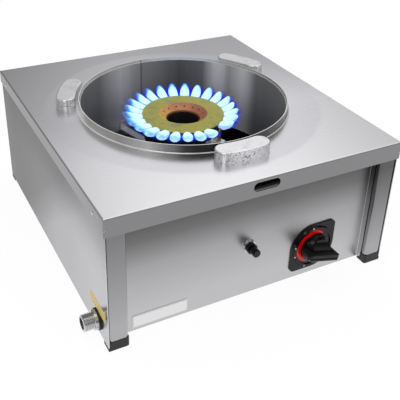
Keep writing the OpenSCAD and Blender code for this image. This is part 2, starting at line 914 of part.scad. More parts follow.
// Pipe from the valve to the injector's holder.
module supply_pipe() {
    color("burlywood") place()
        rod_x(supply_y, mixer_z, feed_x + holder_half + 5, knob_x - valve_r - 6, supply_r);
}

// Pipe from the inlet along the bottom and up into the valve.
module inlet_pipe() {
    start = -skin_in + 26;
    color("silver") place() {
        rod_x(inlet_y, inlet_z, start, knob_x - feed_bend, feed_r);
        translate([knob_x - feed_bend, inlet_y, inlet_z + feed_bend]) rotate([90, 0, 0])
            rotate([0, 0, -90]) rotate_extrude(angle = 90)
                translate([feed_bend, 0]) circle(feed_r);
    }
}

// Compression nuts on both pipes.
module pipe_nuts() {
    color("goldenrod") place() {
        nut_x(supply_y, mixer_z, feed_x + holder_half + 5, 7, 7, supply_r);
        nut_x(supply_y, mixer_z, knob_x - valve_r - 13, 7, 7, supply_r);
    }
}

// A hexagon nut along X on a pipe.
module nut_x(y, z, x0, len, r, hole) {
    translate([x0, y, z]) rotate([0, 90, 0]) difference() {
        cylinder(h = len, r = r + 1, $fn = 6);
        translate([0, 0, -1]) cylinder(h = len + 2, r = hole + 0.05);
    }
}

module inlet_nipple() {
    end = -skin_x - seal_t - shoulder_len - thread_len;
    shoulder = end + thread_len;
    color("silver") place() difference() {
        union() {
            rod_x(inlet_y, inlet_z, end + 1, -skin_in + 12, thread_r);
            translate([end, inlet_y, inlet_z]) rotate([0, 90, 0])
                cylinder(h = 1.01, r1 = thread_r - 0.8, r2 = thread_r);
            rod_x(inlet_y, inlet_z, shoulder, shoulder + shoulder_len, shoulder_r);
        }
        rod_x(inlet_y, inlet_z, end - 1, -skin_in + 13, inlet_bore);
    }
}

module inlet_seal() {
    color("black") place() difference() {
        rod_x(inlet_y, inlet_z, -skin_x - seal_t, -skin_x, seal_r);
        rod_x(inlet_y, inlet_z, -skin_x - seal_t - 1, -skin_x + 1, thread_r + 0.05);
    }
}

module inlet_locknut() {
    color("silver") place() translate([-skin_in, inlet_y, inlet_z]) rotate([0, 90, 0])
        difference() {
            cylinder(h = 6, r = thread_r + 4, $fn = 6);
            translate([0, 0, -1]) cylinder(h = 8, r = thread_r + 0.05);
        }
}

// Brass union that joins the inlet to its pipe.
module inlet_union() {
    start = -skin_in + 12;
    color("goldenrod") place() difference() {
        translate([start, inlet_y, inlet_z]) rotate([0, 90, 0])
            cylinder(h = 14, r = thread_r + 2.5, $fn = 6);
        rod_x(inlet_y, inlet_z, start - 1, start + 9, inlet_bore);
    }
}

module valve_body() {
    color("goldenrod") place() difference() {
        union() {
            rod_y(knob_x, knob_z, valve_y, valve_back, valve_r);
            rod_x(supply_y, mixer_z, knob_x - valve_r - 6, knob_x, 7);
            translate([knob_x, inlet_y, inlet_z + feed_bend])
                cylinder(h = knob_z - inlet_z - feed_bend, r = 8);
            rod_y(knob_x, knob_z, valve_back - 0.01, valve_back + 5, magnet_r + 1.5);
        }
        rod_y(knob_x, knob_z, valve_y - 1, bore_end, spindle_r + run_fit);
        rod_y(knob_x, knob_z, valve_y - 1, valve_y + knob_push + 5, sleeve_r + run_fit);
    }
}

// Plate that closes the valve and fixes it to the front panel.
module valve_bonnet() {
    color("darkgray") place() difference() {
        union() {
            rod_y(knob_x, knob_z, -panel_in, valve_y, valve_r + 2);
            block(
                [knob_x - 9, -panel_in, knob_z - bonnet_half],
                [knob_x + 9, valve_y, knob_z + bonnet_half]
            );
        }
        rod_y(knob_x, knob_z, -panel_in - 1, valve_y + 1, sleeve_r + run_fit);
        for (side = [-1, 1])
            rod_y(knob_x, knob_z + side * bonnet_screw, -panel_in - 1, valve_y + 1, screw_r);
    }
}

// Screws that hold the valve, hidden below the bezel.
module bonnet_screws() {
    color("silver") place()
        for (side = [-1, 1])
            union() {
                rod_y(knob_x, knob_z + side * bonnet_screw, -panel_y - 0.5, valve_y, screw_r - 0.1);
                rod_y(knob_x, knob_z + side * bonnet_screw, -panel_y - 1, -panel_y, screw_head_r - 0.2);
            }
}

// Safety magnet at the back of the valve.
module magnet_unit() {
    color("silver") place() {
        rod_y(knob_x, knob_z, valve_back + 5, valve_back + 5 + magnet_len, magnet_r);
        translate([knob_x, valve_back + 8, knob_z]) rotate([-90, 0, 0])
            cylinder(h = 6, r = magnet_r + 2.5, $fn = 6);
    }
}

// Sleeve that the valve's spring pushes out with the knob.
module spring_sleeve() {
    front = -panel_y - bezel_t;
    color("silver") place() difference() {
        rod_y(knob_x, knob_z, front, valve_y + 4, sleeve_r);
        rod_y(knob_x, knob_z, front - 1, valve_y + 5, spindle_r + run_fit);
    }
}

module valve_spindle() {
    color("silver") place() rod_y(knob_x, knob_z, spindle_front, spindle_end, spindle_r);
}

// Black knob: a stepped skirt and a tapered hub, scooped out to a grip bar.
module knob() {
    color("black") place() translate([knob_x, knob_back, knob_z]) rotate([90, 0, 0])
        rotate([0, 0, -grip_turn]) difference() {
            union() {
                rotate_extrude() polygon([
                    [0, 0], [knob_r, 0], [knob_r, 2.5], [knob_r - 1, 4],
                    [hub_r + 2, skirt_h], [0, skirt_h]
                ]);
                intersection() {
                    union() {
                        cylinder(h = knob_h, r1 = hub_r + 3, r2 = hub_r);
                        translate([0, 0, skirt_h / 2]) linear_extrude(knob_h)
                            grip_outline(grip_len / 2, grip_t / 2);
                    }
                    rotate([90, 0, 90]) linear_extrude(2 * grip_len, center = true)
                        wing_section();
                    rotate([90, 0, 0]) linear_extrude(3 * knob_r, center = true)
                        translate([0, knob_h]) capped_rect(grip_len, knob_h, 2 * grip_round);
                }
            }
            translate([0, 0, -1]) cylinder(h = knob_back - spindle_front + 1, r = spindle_r);
            translate([0, 0, knob_h + 2]) rotate([0, 90, 0])
                cylinder(h = 2 * grip_len, r = 3, center = true, $fn = 48);
        }
}

// Section across the grip: a rounded bar that flares to the hub in two scoops.
module wing_section() {
    scoop_r = knob_h - grip_round - skirt_h;
    translate([0, knob_h]) capped_rect(grip_t, knob_h, grip_round);
    difference() {
        translate([-2 * knob_r, 0]) square([4 * knob_r, knob_h - grip_round]);
        for (side = [-1, 1])
            translate([side * (grip_t / 2 + scoop_r), knob_h - grip_round]) circle(scoop_r);
        for (side = [-1, 1])
            translate([side * (grip_t / 2 + scoop_r + knob_r), skirt_h + knob_r])
                square(2 * knob_r, center = true);
    }
}

// Outline of the grip bar with round ends.
module grip_outline(half_len, half_t) {
    square([2 * (half_len - half_t), 2 * half_t], center = true);
    for (side = [-1, 1]) translate([side * (half_len - half_t), 0]) circle(half_t, $fn = 48);
}

// Leaf-shaped outline: two opposite corners are sharp and two are wide arcs.
module leaf(side_len, small, large) {
    h = side_len / 2;
    difference() {
        square(side_len, center = true);
        corner_cut(h, large, [-1, 1]);
        corner_cut(h, large, [1, -1]);
        corner_cut(h, small, [1, 1]);
        corner_cut(h, small, [-1, -1]);
    }
}

// What a rounded corner takes off a square.
module corner_cut(h, r, way) {
    scale([1, 1]) translate([way[0] * (h - r), way[1] * (h - r)])
        difference() {
            translate([way[0] * (r + 1) / 2, way[1] * (r + 1) / 2]) square(r + 1, center = true);
            circle(r);
        }
}

// Bezel plate with a raised ring round a shallow dish.
module bezel() {
    color("black") place() translate([knob_x, -panel_y, knob_z]) rotate([90, 0, 0])
        difference() {
            union() {
                linear_extrude(bezel_t) leaf(bezel_side, 7, bezel_side / 2);
                cylinder(h = bezel_t + dish_h, r1 = dish_r + 1, r2 = dish_r - 1.5);
            }
            translate([0, 0, bezel_t + 1]) cylinder(h = dish_h + 1, r = band_r + 1.5);
            translate([0, 0, -1]) cylinder(h = bezel_t + dish_h + 2, r = sleeve_r + 1);
            for (side = [-1, 1])
                translate([0, side * bonnet_screw, -1]) cylinder(h = 2.2, r = screw_head_r);
        }
}

module igniter_body() {
    back = igniter_front + igniter_len;
    color("black") place() {
        difference() {
            rod_y(igniter_x, igniter_z, igniter_front, back, igniter_r);
            rod_y(igniter_x, igniter_z, igniter_front - 1, button_front + button_len + button_push + 1,
                button_r + run_fit);
        }
        rod_y(igniter_x, igniter_z, back - 0.01, back + 5, 2);
    }
}

module igniter_collar() {
    color("lightgray") place() difference() {
        union() {
            translate([igniter_x, -panel_y, igniter_z]) rotate([90, 0, 0])
                cylinder(h = ring_nut_len, r1 = ring_nut_r, r2 = ring_nut_r - 1);
        }
        rod_y(igniter_x, igniter_z, -panel_y - ring_nut_len - 1, -panel_y + 1, igniter_r + 0.05);
    }
}

module igniter_locknut() {
    color("silver") place() translate([igniter_x, -panel_in, igniter_z]) rotate([-90, 0, 0])
        difference() {
            cylinder(h = locknut_t, r = igniter_r + 3.5, $fn = 6);
            translate([0, 0, -1]) cylinder(h = locknut_t + 2, r = igniter_r + 0.05);
        }
}

module igniter_button() {
    chamfer = 0.8;
    color("black") place() {
        rod_y(igniter_x, igniter_z, button_front + chamfer, button_front + button_len, button_r);
        translate([igniter_x, button_front, igniter_z]) rotate([-90, 0, 0])
            cylinder(h = chamfer + 0.01, r1 = button_r - chamfer, r2 = button_r);
    }
}

// Place of a probe beside the burner: side is -1 for the electrode, 1 for the thermocouple.
function probe_at(side) = [
    probe_r * cos(probe_angle) - side * probe_side * sin(probe_angle),
    probe_r * sin(probe_angle) + side * probe_side * cos(probe_angle)
];

// Puts a piece at a probe's place.
module at_probe(side) {
    spot = probe_at(side);
    translate([spot[0], spot[1], 0]) children();
}

module spark_electrode() {
    top = burner_top - 3;
    color("silver") place() at_probe(-1) {
        translate([0, 0, probe_low - 6]) cylinder(h = top - probe_low + 6, r = wire_r, $fn = 24);
    }
}

module electrode_insulator() {
    color("white") place() at_probe(-1) difference() {
        union() {
            translate([0, 0, probe_low]) cylinder(h = insulator_len, r = insulator_r - 1);
            translate([0, 0, probe_low + 4]) cylinder(h = insulator_len / 2, r = insulator_r);
        }
        translate([0, 0, probe_low - 1]) cylinder(h = insulator_len + 2, r = wire_r + 0.05, $fn = 24);
    }
}

module thermocouple() {
    color("tan") place() at_probe(1) {
        translate([0, 0, probe_low]) cylinder(h = burner_top - probe_low - 6, r = sheath_r);
        translate([0, 0, burner_top - 6]) cylinder(h = 4, r1 = sheath_r, r2 = 1);
    }
}

// Small plate that holds electrode and thermocouple on the burner's casting.
module probe_bracket() {
    inner = body_r + 0.2;
    color("silver") place() difference() {
        rotate([0, 0, probe_angle]) {
            block([inner, -probe_side - 6, bracket_z], [probe_r + 6, probe_side + 6, bracket_z + 1.5]);
            block([inner, -7, bracket_z - 9], [inner + 1.5, 7, bracket_z + 0.01]);
        }
        at_probe(-1) translate([0, 0, bracket_z - 1]) cylinder(h = 4, r = insulator_r + 0.05);
        at_probe(1) translate([0, 0, bracket_z - 1]) cylinder(h = 4, r = sheath_r + 0.05);
    }
}

// A point on a cubic curve with four control points.
function curve_at(p, t) =
    pow(1 - t, 3) * p[0] + 3 * t * pow(1 - t, 2) * p[1]
    + 3 * t * t * (1 - t) * p[2] + pow(t, 3) * p[3];

function unit(v) = v / norm(v);

// Turns a side vector so that it stays square to the next direction.
function carry(side, way) = unit(side - (side * way) * way);

// Side vectors along a path, each carried on from the one before.
function sides_along(ways, i = 0, last = [1, 0, 0]) =
    i == len(ways) ? [] : let(next = carry(last, ways[i]))
        concat([next], sides_along(ways, i + 1, next));

// A round lead along a cubic curve.
module lead(p, r, steps = 24, edges = 8) {
    path = [for (i = [0:steps]) curve_at(p, i / steps)];
    ways = [for (i = [0:steps])
        unit(path[min(i + 1, steps)] - path[max(i - 1, 0)])];
    across = sides_along(ways);
    points = [for (i = [0:steps], k = [0:edges - 1])
        path[i] + r * cos(k * 360 / edges) * across[i]
            + r * sin(k * 360 / edges) * cross(ways[i], across[i])];
    walls = [for (i = [0:steps - 1], k = [0:edges - 1])
        let(a = i * edges + k, b = i * edges + (k + 1) % edges)
            [a, a + edges, b + edges, b]];
    polyhedron(
        points,
        concat(
            walls,
            [[for (k = [0:edges - 1]) k]],
            [[for (k = [0:edges - 1]) (steps + 1) * edges - 1 - k]]
        )
    );
}

module ignition_lead() {
    spot = probe_at(-1);
    start = [spot[0], spot[1], probe_low - 6];
    back = igniter_front + igniter_len + 5;
    end = [igniter_x, back, igniter_z];
    color("darkred") place() lead([start, start - [0, 0, lead_bow], end + [0, lead_bow, 0], end], 1.8);
}

module thermocouple_lead() {
    spot = probe_at(1);
    start = [spot[0], spot[1], probe_low];
    end = [knob_x, valve_back + 5 + magnet_len, knob_z];
    color("peru") place() lead([start, start - [0, 0, probe_bow], end + [0, valve_bow, 0], end], 1.4);
}

top_panel();
left_side_panel();
right_side_panel();
front_left_leg();
front_right_leg();
rear_left_leg();
rear_right_leg();
front_panel();
rear_panel();
base_plate();
front_left_foot();
front_right_foot();
rear_left_foot();
rear_right_foot();
lid_rivets();
rear_screws();
well_liner();
well_collar();
wok_support_left();
wok_support_right();
wok_support_front();
support_screws();
burner_stand();
stand_screws();
burner_body();
burner_cap();
mixing_tube();
tube_screws();
air_shutter();
injector();
injector_holder();
holder_bracket();
supply_pipe();
inlet_pipe();
pipe_nuts();
inlet_nipple();
inlet_seal();
inlet_locknut();
inlet_union();
valve_body();
valve_bonnet();
bonnet_screws();
magnet_unit();
spring_sleeve();
valve_spindle();
knob();
bezel();
igniter_body();
igniter_collar();
igniter_locknut();
igniter_button();
ignition_lead();
spark_electrode();
electrode_insulator();
thermocouple();
thermocouple_lead();
probe_bracket();
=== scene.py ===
"""Dresses the table-top gas wok cooker: finishes, flames, small trim, light and camera."""

import logging
import math
from dataclasses import dataclass, field
from enum import Enum
from functools import cached_property
from typing import ClassVar, Protocol, Sequence, Union

import bmesh
import bpy
from bpy.types import ID, Material, Mesh, Node, NodeSocket, NodeTree, Object
from mathutils import Euler, Matrix, Vector


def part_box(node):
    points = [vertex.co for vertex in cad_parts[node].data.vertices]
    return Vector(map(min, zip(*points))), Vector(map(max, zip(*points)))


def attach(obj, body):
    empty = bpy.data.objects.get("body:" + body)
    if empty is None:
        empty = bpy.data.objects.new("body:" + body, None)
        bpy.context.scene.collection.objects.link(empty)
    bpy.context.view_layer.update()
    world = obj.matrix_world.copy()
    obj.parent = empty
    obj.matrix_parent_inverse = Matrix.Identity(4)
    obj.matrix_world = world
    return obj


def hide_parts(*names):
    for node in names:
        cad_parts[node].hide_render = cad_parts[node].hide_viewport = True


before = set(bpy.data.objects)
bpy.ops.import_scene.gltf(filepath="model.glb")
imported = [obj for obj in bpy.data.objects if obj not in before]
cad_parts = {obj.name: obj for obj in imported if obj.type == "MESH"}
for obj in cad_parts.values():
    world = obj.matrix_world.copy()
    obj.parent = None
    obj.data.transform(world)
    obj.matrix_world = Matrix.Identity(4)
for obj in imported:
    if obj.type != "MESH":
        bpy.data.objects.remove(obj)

LOG = logging.getLogger("cooker")
CABINET = "cabinet"
Pair = tuple[float, float]
Triple = tuple[float, float, float]
Colour = Triple
Shares = tuple[Pair, ...]
Stops = Sequence[tuple[float, Colour]]
Number = Union[float, "Wire"]
BLACK: Colour = (0.0, 0.0, 0.0)
WHITE: Colour = (1.0, 1.0, 1.0)
RUBBER: Colour = (0.012, 0.012, 0.012)
COOL = 1.005


class Grain(Enum):
    """The way in which a sheet's brush marks run."""

    ALONG_X = (0.02, 1.0, 1.0)
    ALONG_Y = (1.0, 0.02, 1.0)
    ALONG_Z = (1.0, 1.0, 0.02)
    NONE = (1.0, 1.0, 1.0)


class Facing(Enum):
    """The way in which a flat piece faces, as the Euler angles of its turn from +Z."""

    FRONT = (math.pi / 2, 0.0, 0.0)
    LEFT = (math.pi / 2, 0.0, -math.pi / 2)

    def turn(self) -> Matrix:
        """Gives that turn, which stands the piece's +Y upright."""
        return Euler(self.value).to_matrix().to_4x4()


def linear(value: float) -> float:
    """Turns one screen value into the linear value that a shader takes."""
    return value / 12.92 if value <= 0.04045 else ((value + 0.055) / 1.055) ** 2.4


def rgb(red: float, green: float, blue: float) -> Colour:
    """Turns a screen colour into a linear colour."""
    return (linear(red), linear(green), linear(blue))


def grey(value: float) -> Colour:
    """Returns a neutral colour of that screen value, with a trace of blue."""
    return rgb(value, value, value * COOL)


def turn_share(degrees: float) -> float:
    """Turns an angle from -180 to 180 degrees into a share from 0 to 1."""
    return degrees / 360.0 + 0.5


def round_stops(shares: Shares) -> Stops:
    """Turns angles in degrees, and the tone's share at each, into a ramp's stops."""
    return [(turn_share(at), grey(share)) for at, share in shares]


def held(value: float) -> float:
    """Keeps a number between 0 and 1."""
    return min(1.0, max(0.0, value))


@dataclass
class Wire:
    """One node output, with operators that add Math nodes."""

    graph: "Graph"
    socket: NodeSocket

    def output(self, name: str) -> "Wire":
        """Gives another output of the same node."""
        return Wire(self.graph, self.socket.node.outputs[name])

    def _maths(self, operation: str, *values: Number) -> "Wire":
        """Adds a Math node that works on these values."""
        return self.graph.node("ShaderNodeMath", {"operation": operation}, list(values))

    def __add__(self, other: Number) -> "Wire":
        """Adds a value."""
        return self._maths("ADD", self, other)

    __radd__ = __add__

    def __mul__(self, other: Number) -> "Wire":
        """Multiplies by a value."""
        return self._maths("MULTIPLY", self, other)

    __rmul__ = __mul__

    def __sub__(self, other: Number) -> "Wire":
        """Takes a value away."""
        return self._maths("SUBTRACT", self, other)

    def __rsub__(self, other: Number) -> "Wire":
        """Takes this away from a value."""
        return self._maths("SUBTRACT", other, self)

    def __truediv__(self, other: Number) -> "Wire":
        """Divides by a value."""
        return self._maths("DIVIDE", self, other)

    def __rtruediv__(self, other: Number) -> "Wire":
        """Divides a value by this."""
        return self._maths("DIVIDE", other, self)

    def __abs__(self) -> "Wire":
        """Drops the sign."""
        return self._maths("ABSOLUTE", self)

    def __gt__(self, other: Number) -> "Wire":
        """Gives 1 where this is the greater value."""
        return self._maths("GREATER_THAN", self, other)

    def most(self, other: Number) -> "Wire":
        """Gives the greater of two values."""
        return self._maths("MAXIMUM", self, other)

    def least(self, other: Number) -> "Wire":
        """Gives the smaller of two values."""
        return self._maths("MINIMUM", self, other)

    def root(self) -> "Wire":
        """Gives the square root."""
        return self._maths("SQRT", self)

    def fraction(self) -> "Wire":
        """Gives the part after the point."""
        return self._maths("FRACT", self)

    def angle(self, other: Number) -> "Wire":
        """Gives the angle whose sine is this and whose cosine is the other, in radians."""
        return self._maths("ARCTAN2", self, other)

    def step(self, low: float, high: float) -> "Wire":
        """Rises smoothly from 0 at low to 1 at high."""
        return self.graph.node(
            "ShaderNodeMapRange",
            {"interpolation_type": "SMOOTHSTEP"},
            {"Value": self, "From Min": low, "From Max": high},
        )


@dataclass(frozen=True)
class Around:
    """Where a point lies round an upright axis."""

    across: Wire
    deep: Wire

    def reach(self) -> Wire:
        """Gives its distance from the axis."""
        return (self.across * self.across + self.deep * self.deep).root()

    def turn(self) -> Wire:
        """Gives its angle as turn_share does, so that the right is 0.5 and the back 0.75."""
        return self.deep.angle(self.across) / (2 * math.pi) + 0.5


class Graph:
    """A node tree, with short names for the nodes that this file adds to one."""

    LEVEL: ClassVar[Pair] = (0.3, 0.9)

    def __init__(self, tree: NodeTree) -> None:
        """Takes up a tree."""
        self.tree = tree

    def feed(self, socket: NodeSocket, value: object) -> None:
        """Links a wire to a socket, or sets the socket's own value."""
        if isinstance(value, Wire):
            self.tree.links.new(value.socket, socket)
        elif isinstance(value, tuple) and len(value) == 3 and socket.type == "RGBA":
            socket.default_value = (*value, 1.0)
        else:
            socket.default_value = value

    def node(
        self,
        kind: str,
        settings: dict[str, object] | None = None,
        values: dict[object, object] | list[object] | None = None,
        output: int | str = 0,
    ) -> Wire:
        """Adds a node. Values go by place or by name; the setting "stops" fills a ramp."""
        made = self.tree.nodes.new(kind)
        for name, value in (settings or {}).items():
            if name == "stops":
                self._fill_ramp(made, value)
            else:
                setattr(made, name, value)
        pairs = enumerate(values) if isinstance(values, list) else (values or {}).items()
        for name, value in pairs:
            self.feed(made.inputs[name], value)
        return Wire(self, made.outputs[output])

    @staticmethod
    def _fill_ramp(made: Node, stops: Stops) -> None:
        """Writes a ramp's stops: places from 0 to 1, and the colour at each."""
        elements = made.color_ramp.elements
        while len(elements) < len(stops):
            elements.new(0.5)
        for element, (place, colour) in zip(elements, stops):
            element.position = place
            element.color = (*colour, 1.0)

    def own(self, kind: str) -> Node:
        """Finds the node of that type that the tree came with."""
        return next(n for n in self.tree.nodes if n.type == kind)

    @cached_property
    def place(self) -> Wire:
        """Gives the point in the object's own frame, in metres."""
        return self.node("ShaderNodeTexCoord", output="Object")

    def parts(self, vector: Wire) -> tuple[Wire, Wire, Wire]:
        """Splits a vector into its three numbers."""
        x = self.node("ShaderNodeSeparateXYZ", values=[vector])
        return x, x.output("Y"), x.output("Z")

    def scaled(self, vector: Wire, factor: Triple) -> Wire:
        """Stretches a vector."""
        return self.node("ShaderNodeVectorMath", {"operation": "MULTIPLY"}, [vector, factor])

    def around(self, centre: Pair) -> Around:
        """Gives where the point lies round the upright axis at that centre."""
        x, y, _ = self.parts(self.place)
        return Around(x - centre[0], y - centre[1])

    def upward(self) -> Wire:
        """Gives 1 on faces that look up, 0 on upright ones and -1 on those that look down."""
        return self.parts(self.node("ShaderNodeNewGeometry", output="Normal"))[2]

    def level(self) -> Wire:
        """Gives 1 on level faces and 0 on upright ones."""
        return abs(self.upward()).step(*self.LEVEL)

    def noise(self, vector: Wire, scale: float, detail: float) -> Wire:
        """Adds a noise of that scale, from about 0 to 1."""
        return self.node(
            "ShaderNodeTexNoise", values={"Vector": vector, "Scale": scale, "Detail": detail}
        )

    def _mixed(self, how: str, factor: Number, low: object, high: object) -> Wire:
        """Adds a Mix node for colours, whose colour sockets are 6 and 7 and its output 2."""
        settings = {"data_type": "RGBA", "blend_type": how}
        return self.node("ShaderNodeMix", settings, {0: factor, 6: low, 7: high}, 2)

    def blend(self, factor: Number, low: object, high: object) -> Wire:
        """Mixes two colours."""
        return self._mixed("MIX", factor, low, high)

    def times(self, colour: object, by: object) -> Wire:
        """Multiplies a colour by a colour, or by a number as a grey."""
        return self._mixed("MULTIPLY", 1.0, colour, by)

    def ramp(self, value: Wire, stops: Stops) -> Wire:
        """Turns a number into a colour."""
        return self.node("ShaderNodeValToRGB", {"stops": stops}, [value])

    def bump(self, height: Wire, strength: float, distance: float) -> Wire:
        """Turns a height into a normal."""
        return self.node(
            "ShaderNodeBump",
            values={"Height": height, "Strength": strength, "Distance": distance},
        )

    def rays(self) -> tuple[Wire, Wire]:
        """Gives 1 for what the camera sees itself, and 1 for what metal or glass shows of it."""
        camera = self.node("ShaderNodeLightPath", output="Is Camera Ray")
        mirrored = camera.output("Is Glossy Ray").most(camera.output("Is Transmission Ray"))
        return camera, mirrored

    def mix_in(self, share: Wire, plain: Node, other: Wire, end: str) -> None:
        """Mixes a second shader, with that share, in before the output node of that type."""
        first = Wire(self, plain.outputs[0])
        mixed = self.node("ShaderNodeMixShader", values=[share, first, other])
        self.tree.links.new(mixed.socket, self.own(end).inputs[0])


class SurfaceGraph(Graph):
    """The node tree of a new material with a Principled shader."""

    def __init__(self, name: str) -> None:
        """Makes the material."""
        self.material = bpy.data.materials.new(name)
        self.material.use_nodes = True
        super().__init__(self.material.node_tree)
        self.shader = self.own("BSDF_PRINCIPLED")

    def surface(self, **sockets: object) -> Material:
        """Sets the shader's sockets, named with underscores, and ends the material."""
        for name, value in sockets.items():
            self.feed(self.shader.inputs[name.replace("_", " ")], value)
        return self.material


class Finish(Protocol):
    """What each finish of the cooker does."""

    def make(self, name: str) -> Material:
        """Builds the material."""


@dataclass(frozen=True)
class SheetSteel:
    """Brushed stainless sheet."""

    tone: float  # Screen value of the steel.
    grain: Grain
    rough: float
    marks: float  # How much the brush marks change tone and roughness.
    painted_upright_shade: float = 1.0  # Painted shade: share of the tone that upright faces keep.
    painted_lid_shadow: Shares = ()  # Painted shadow under the lid: heights in metres, and the tone's share at each.
    run: Shares = ()  # Painted reflection: places from front to back, and the share.
    painted_sheen: Shares = ()  # Painted sheen: places along a line that climbs to the back, and the share.
    metal: float = 1.0
    glance: float = 1.0  # Tone of the reflection at a glancing angle.
    centre: Pair = (0.0, 0.0)  # The well's axis.
    round: Shares = ()  # Painted reflection round that axis: angles in degrees, and the share.
    dish: float = 0.189  # Radius of the shallow pressed ring round the well, whose light and shade are painted.
    LID_SHADOW_SPAN: ClassVar[Pair] = (0.0, 0.2)  # Start and length of the heights that the painted lid shadow may cover.
    RUN_SPAN: ClassVar[Pair] = (-0.25, 0.5)
    SHEEN_SPAN: ClassVar[Pair] = (-0.25, 0.75)
    SHEEN_RISE: ClassVar[float] = 1.35  # How much a height counts for, against a depth.
    DISH_EDGE: ClassVar[Pair] = (-0.006, 0.003)
    DISH_SHADE: ClassVar[float] = 0.13  # Painted light and shade: lighter behind the well by this, darker before it.

    def _shaded(self, g: Graph, base: Wire) -> Wire:
        """Adds the painted lid shadow, painted reflection and painted sheen, which change with
        height, with depth and along a diagonal.
        """
        _, deep, height = g.parts(g.place)
        for spot, (low, span), shares in (
            (height, self.LID_SHADOW_SPAN, self.painted_lid_shadow),
            (deep, self.RUN_SPAN, self.run),
            (deep + height * self.SHEEN_RISE, self.SHEEN_SPAN, self.painted_sheen),
        ):
            if shares:
                stops = [((at - low) / span, grey(share)) for at, share in shares]
                base = g.times(base, g.ramp((spot - low) / span, stops))
        return base

    def _pressed(self, g: Graph, base: Wire) -> Wire:
        """Adds the lid's painted reflection round the well, and the painted light and shade of its
        shallow pressed ring.
        """
        spot = g.around(self.centre)
        reach = spot.reach()
        # Painted reflection: the lid's tone by angle round the well.
        base = g.times(base, g.ramp(spot.turn(), round_stops(self.round)))
        inner, outer = self.DISH_EDGE
        # Painted light and shade of the pressed ring: lighter behind the well, darker before it.
        inside = 1.0 - reach.step(self.dish + inner, self.dish + outer)
        return g.times(base, 1.0 + inside * (spot.deep / reach) * self.DISH_SHADE)

    def make(self, name: str) -> Material:
        """Builds the material."""
        g = SurfaceGraph(name)
        along = g.scaled(g.place, self.grain.value)
        fine = g.noise(along, scale=1400.0, detail=2.0)
        wide = g.noise(along, scale=160.0, detail=3.0)
        lines = fine * 0.6 + wide * 0.4
        cloud = g.noise(g.place, scale=7.0, detail=2.0)
        # Painted shade: upright faces keep only part of the tone, so the lid's upright lip shows
        # darker.
        lip = self.painted_upright_shade + g.level() * (1.0 - self.painted_upright_shade)
        value = lip * (1.0 - self.marks + lines * 2.0 * self.marks) * (0.97 + cloud * 0.06)
        base = self._shaded(g, g.blend(value.least(1.0), BLACK, grey(self.tone)))
        if self.round:
            base = self._pressed(g, base)
        return g.surface(
            Base_Color=base,
            Metallic=self.metal,
            Specular_Tint=(self.glance, self.glance, self.glance),
            Roughness=self.rough + (lines * 1.2 - 0.6) * self.marks + cloud * 0.05,
            Normal=g.bump(lines, strength=0.06, distance=0.0002),
        )


@dataclass(frozen=True)
class WellSteel:
    """Rolled sheet round the well: upright grain, painted upright reflections and shade, a dark
    seam and heat bloom low down.
    """

    centre: Pair
    tone: float = 0.97
    rough: float = 0.34
    metal: float = 0.15
    seam: float = 91.0  # Angle of the dark upright seam line, in degrees.
    painted_reflections: Shares = (  # Painted reflections and shade: angles in degrees, and the tone's share at each.
        (-180.0, 0.56), (12.0, 0.56), (24.0, 1.0), (33.0, 0.80), (38.0, 1.0), (43.0, 1.0),
        (51.0, 0.54), (66.0, 0.44), (90.0, 0.70), (106.0, 0.97), (124.0, 0.62),
        (180.0, 0.56),
    )
    SEAM_HALF: ClassVar[float] = 0.0011  # Half its width, as a share of the turn.
    SEAM_TONE: ClassVar[Colour] = (0.03, 0.03, 0.03)
    BLOOM: ClassVar[Pair] = (0.09, 0.17)  # Heights between which the heat bloom ends.
    BLOOM_TINT: ClassVar[Colour] = rgb(0.60, 0.57, 0.54)
    GROOVE: ClassVar[float] = 0.45  # Screen value at the bottom of the grain.

    def make(self, name: str) -> Material:
        """Builds the material."""
        g = SurfaceGraph(name)
        along = g.scaled(g.place, Grain.ALONG_Z.value)
        bands = g.noise(along, scale=60.0, detail=2.0)
        fine = g.noise(along, scale=900.0, detail=3.0)
        lines = fine * 0.55 + bands * 0.45
        _, _, height = g.parts(g.place)
        warm = (1.0 - height.step(*self.BLOOM)) * 0.5
        steel = rgb(self.tone, self.tone * 0.99, self.tone * 0.98)
        tint = g.blend(warm, steel, self.BLOOM_TINT)
        base = g.blend((lines * 0.5 + 0.62).least(1.0), grey(self.GROOVE), tint)
        around = g.around(self.centre).turn()
        # Painted reflections and shade: light and dark upright bands by angle round the well.
        painted_reflection = g.ramp(around + (bands - 0.5) * 0.012, round_stops(self.painted_reflections))
        seam = 1.0 - (abs(around - turn_share(self.seam)) > self.SEAM_HALF)
        upright = g.blend(seam * 0.6, painted_reflection, self.SEAM_TONE)
        # Faces that look up are kept out of the painted bands.
        shade = g.blend(g.upward().step(0.5, 0.9), upright, WHITE)
        return g.surface(
            Base_Color=g.times(base, shade),
            Metallic=self.metal,
            Roughness=self.rough + lines * 0.14 - 0.07,
            Normal=g.bump(lines, strength=0.08, distance=0.0003),
        )


@dataclass(frozen=True)
class PolishedCasting:
    """Polished aluminium casting, mottled with pits and dull patches, most on its sides."""

    tone: float = 0.99
    dull_tone: float = 0.56  # Share of the tone that the dull patches keep.
    rough: float = 0.24
    metal: float = 0.7

    def make(self, name: str) -> Material:
        """Builds the material."""
        g = SurfaceGraph(name)
        place = g.place
        pits = g.noise(place, scale=1100.0, detail=4.0)
        mottle = g.noise(place, scale=420.0, detail=3.0)
        waves = g.noise(place, scale=70.0, detail=2.0)
        side = 1.0 - g.level()
        dull = mottle.step(0.48, 0.70) * (0.22 + side * 0.68) + waves.step(0.5, 0.7) * 0.2
        return g.surface(
            Base_Color=g.blend(dull.least(1.0), grey(self.tone), grey(self.tone * self.dull_tone)),
            Metallic=self.metal,
            Roughness=self.rough + pits * 0.12 + dull * 0.14 - 0.08,
            Normal=g.bump(waves * 0.4 + mottle * 0.4 + pits * 0.2, strength=0.35, distance=0.0006),
        )


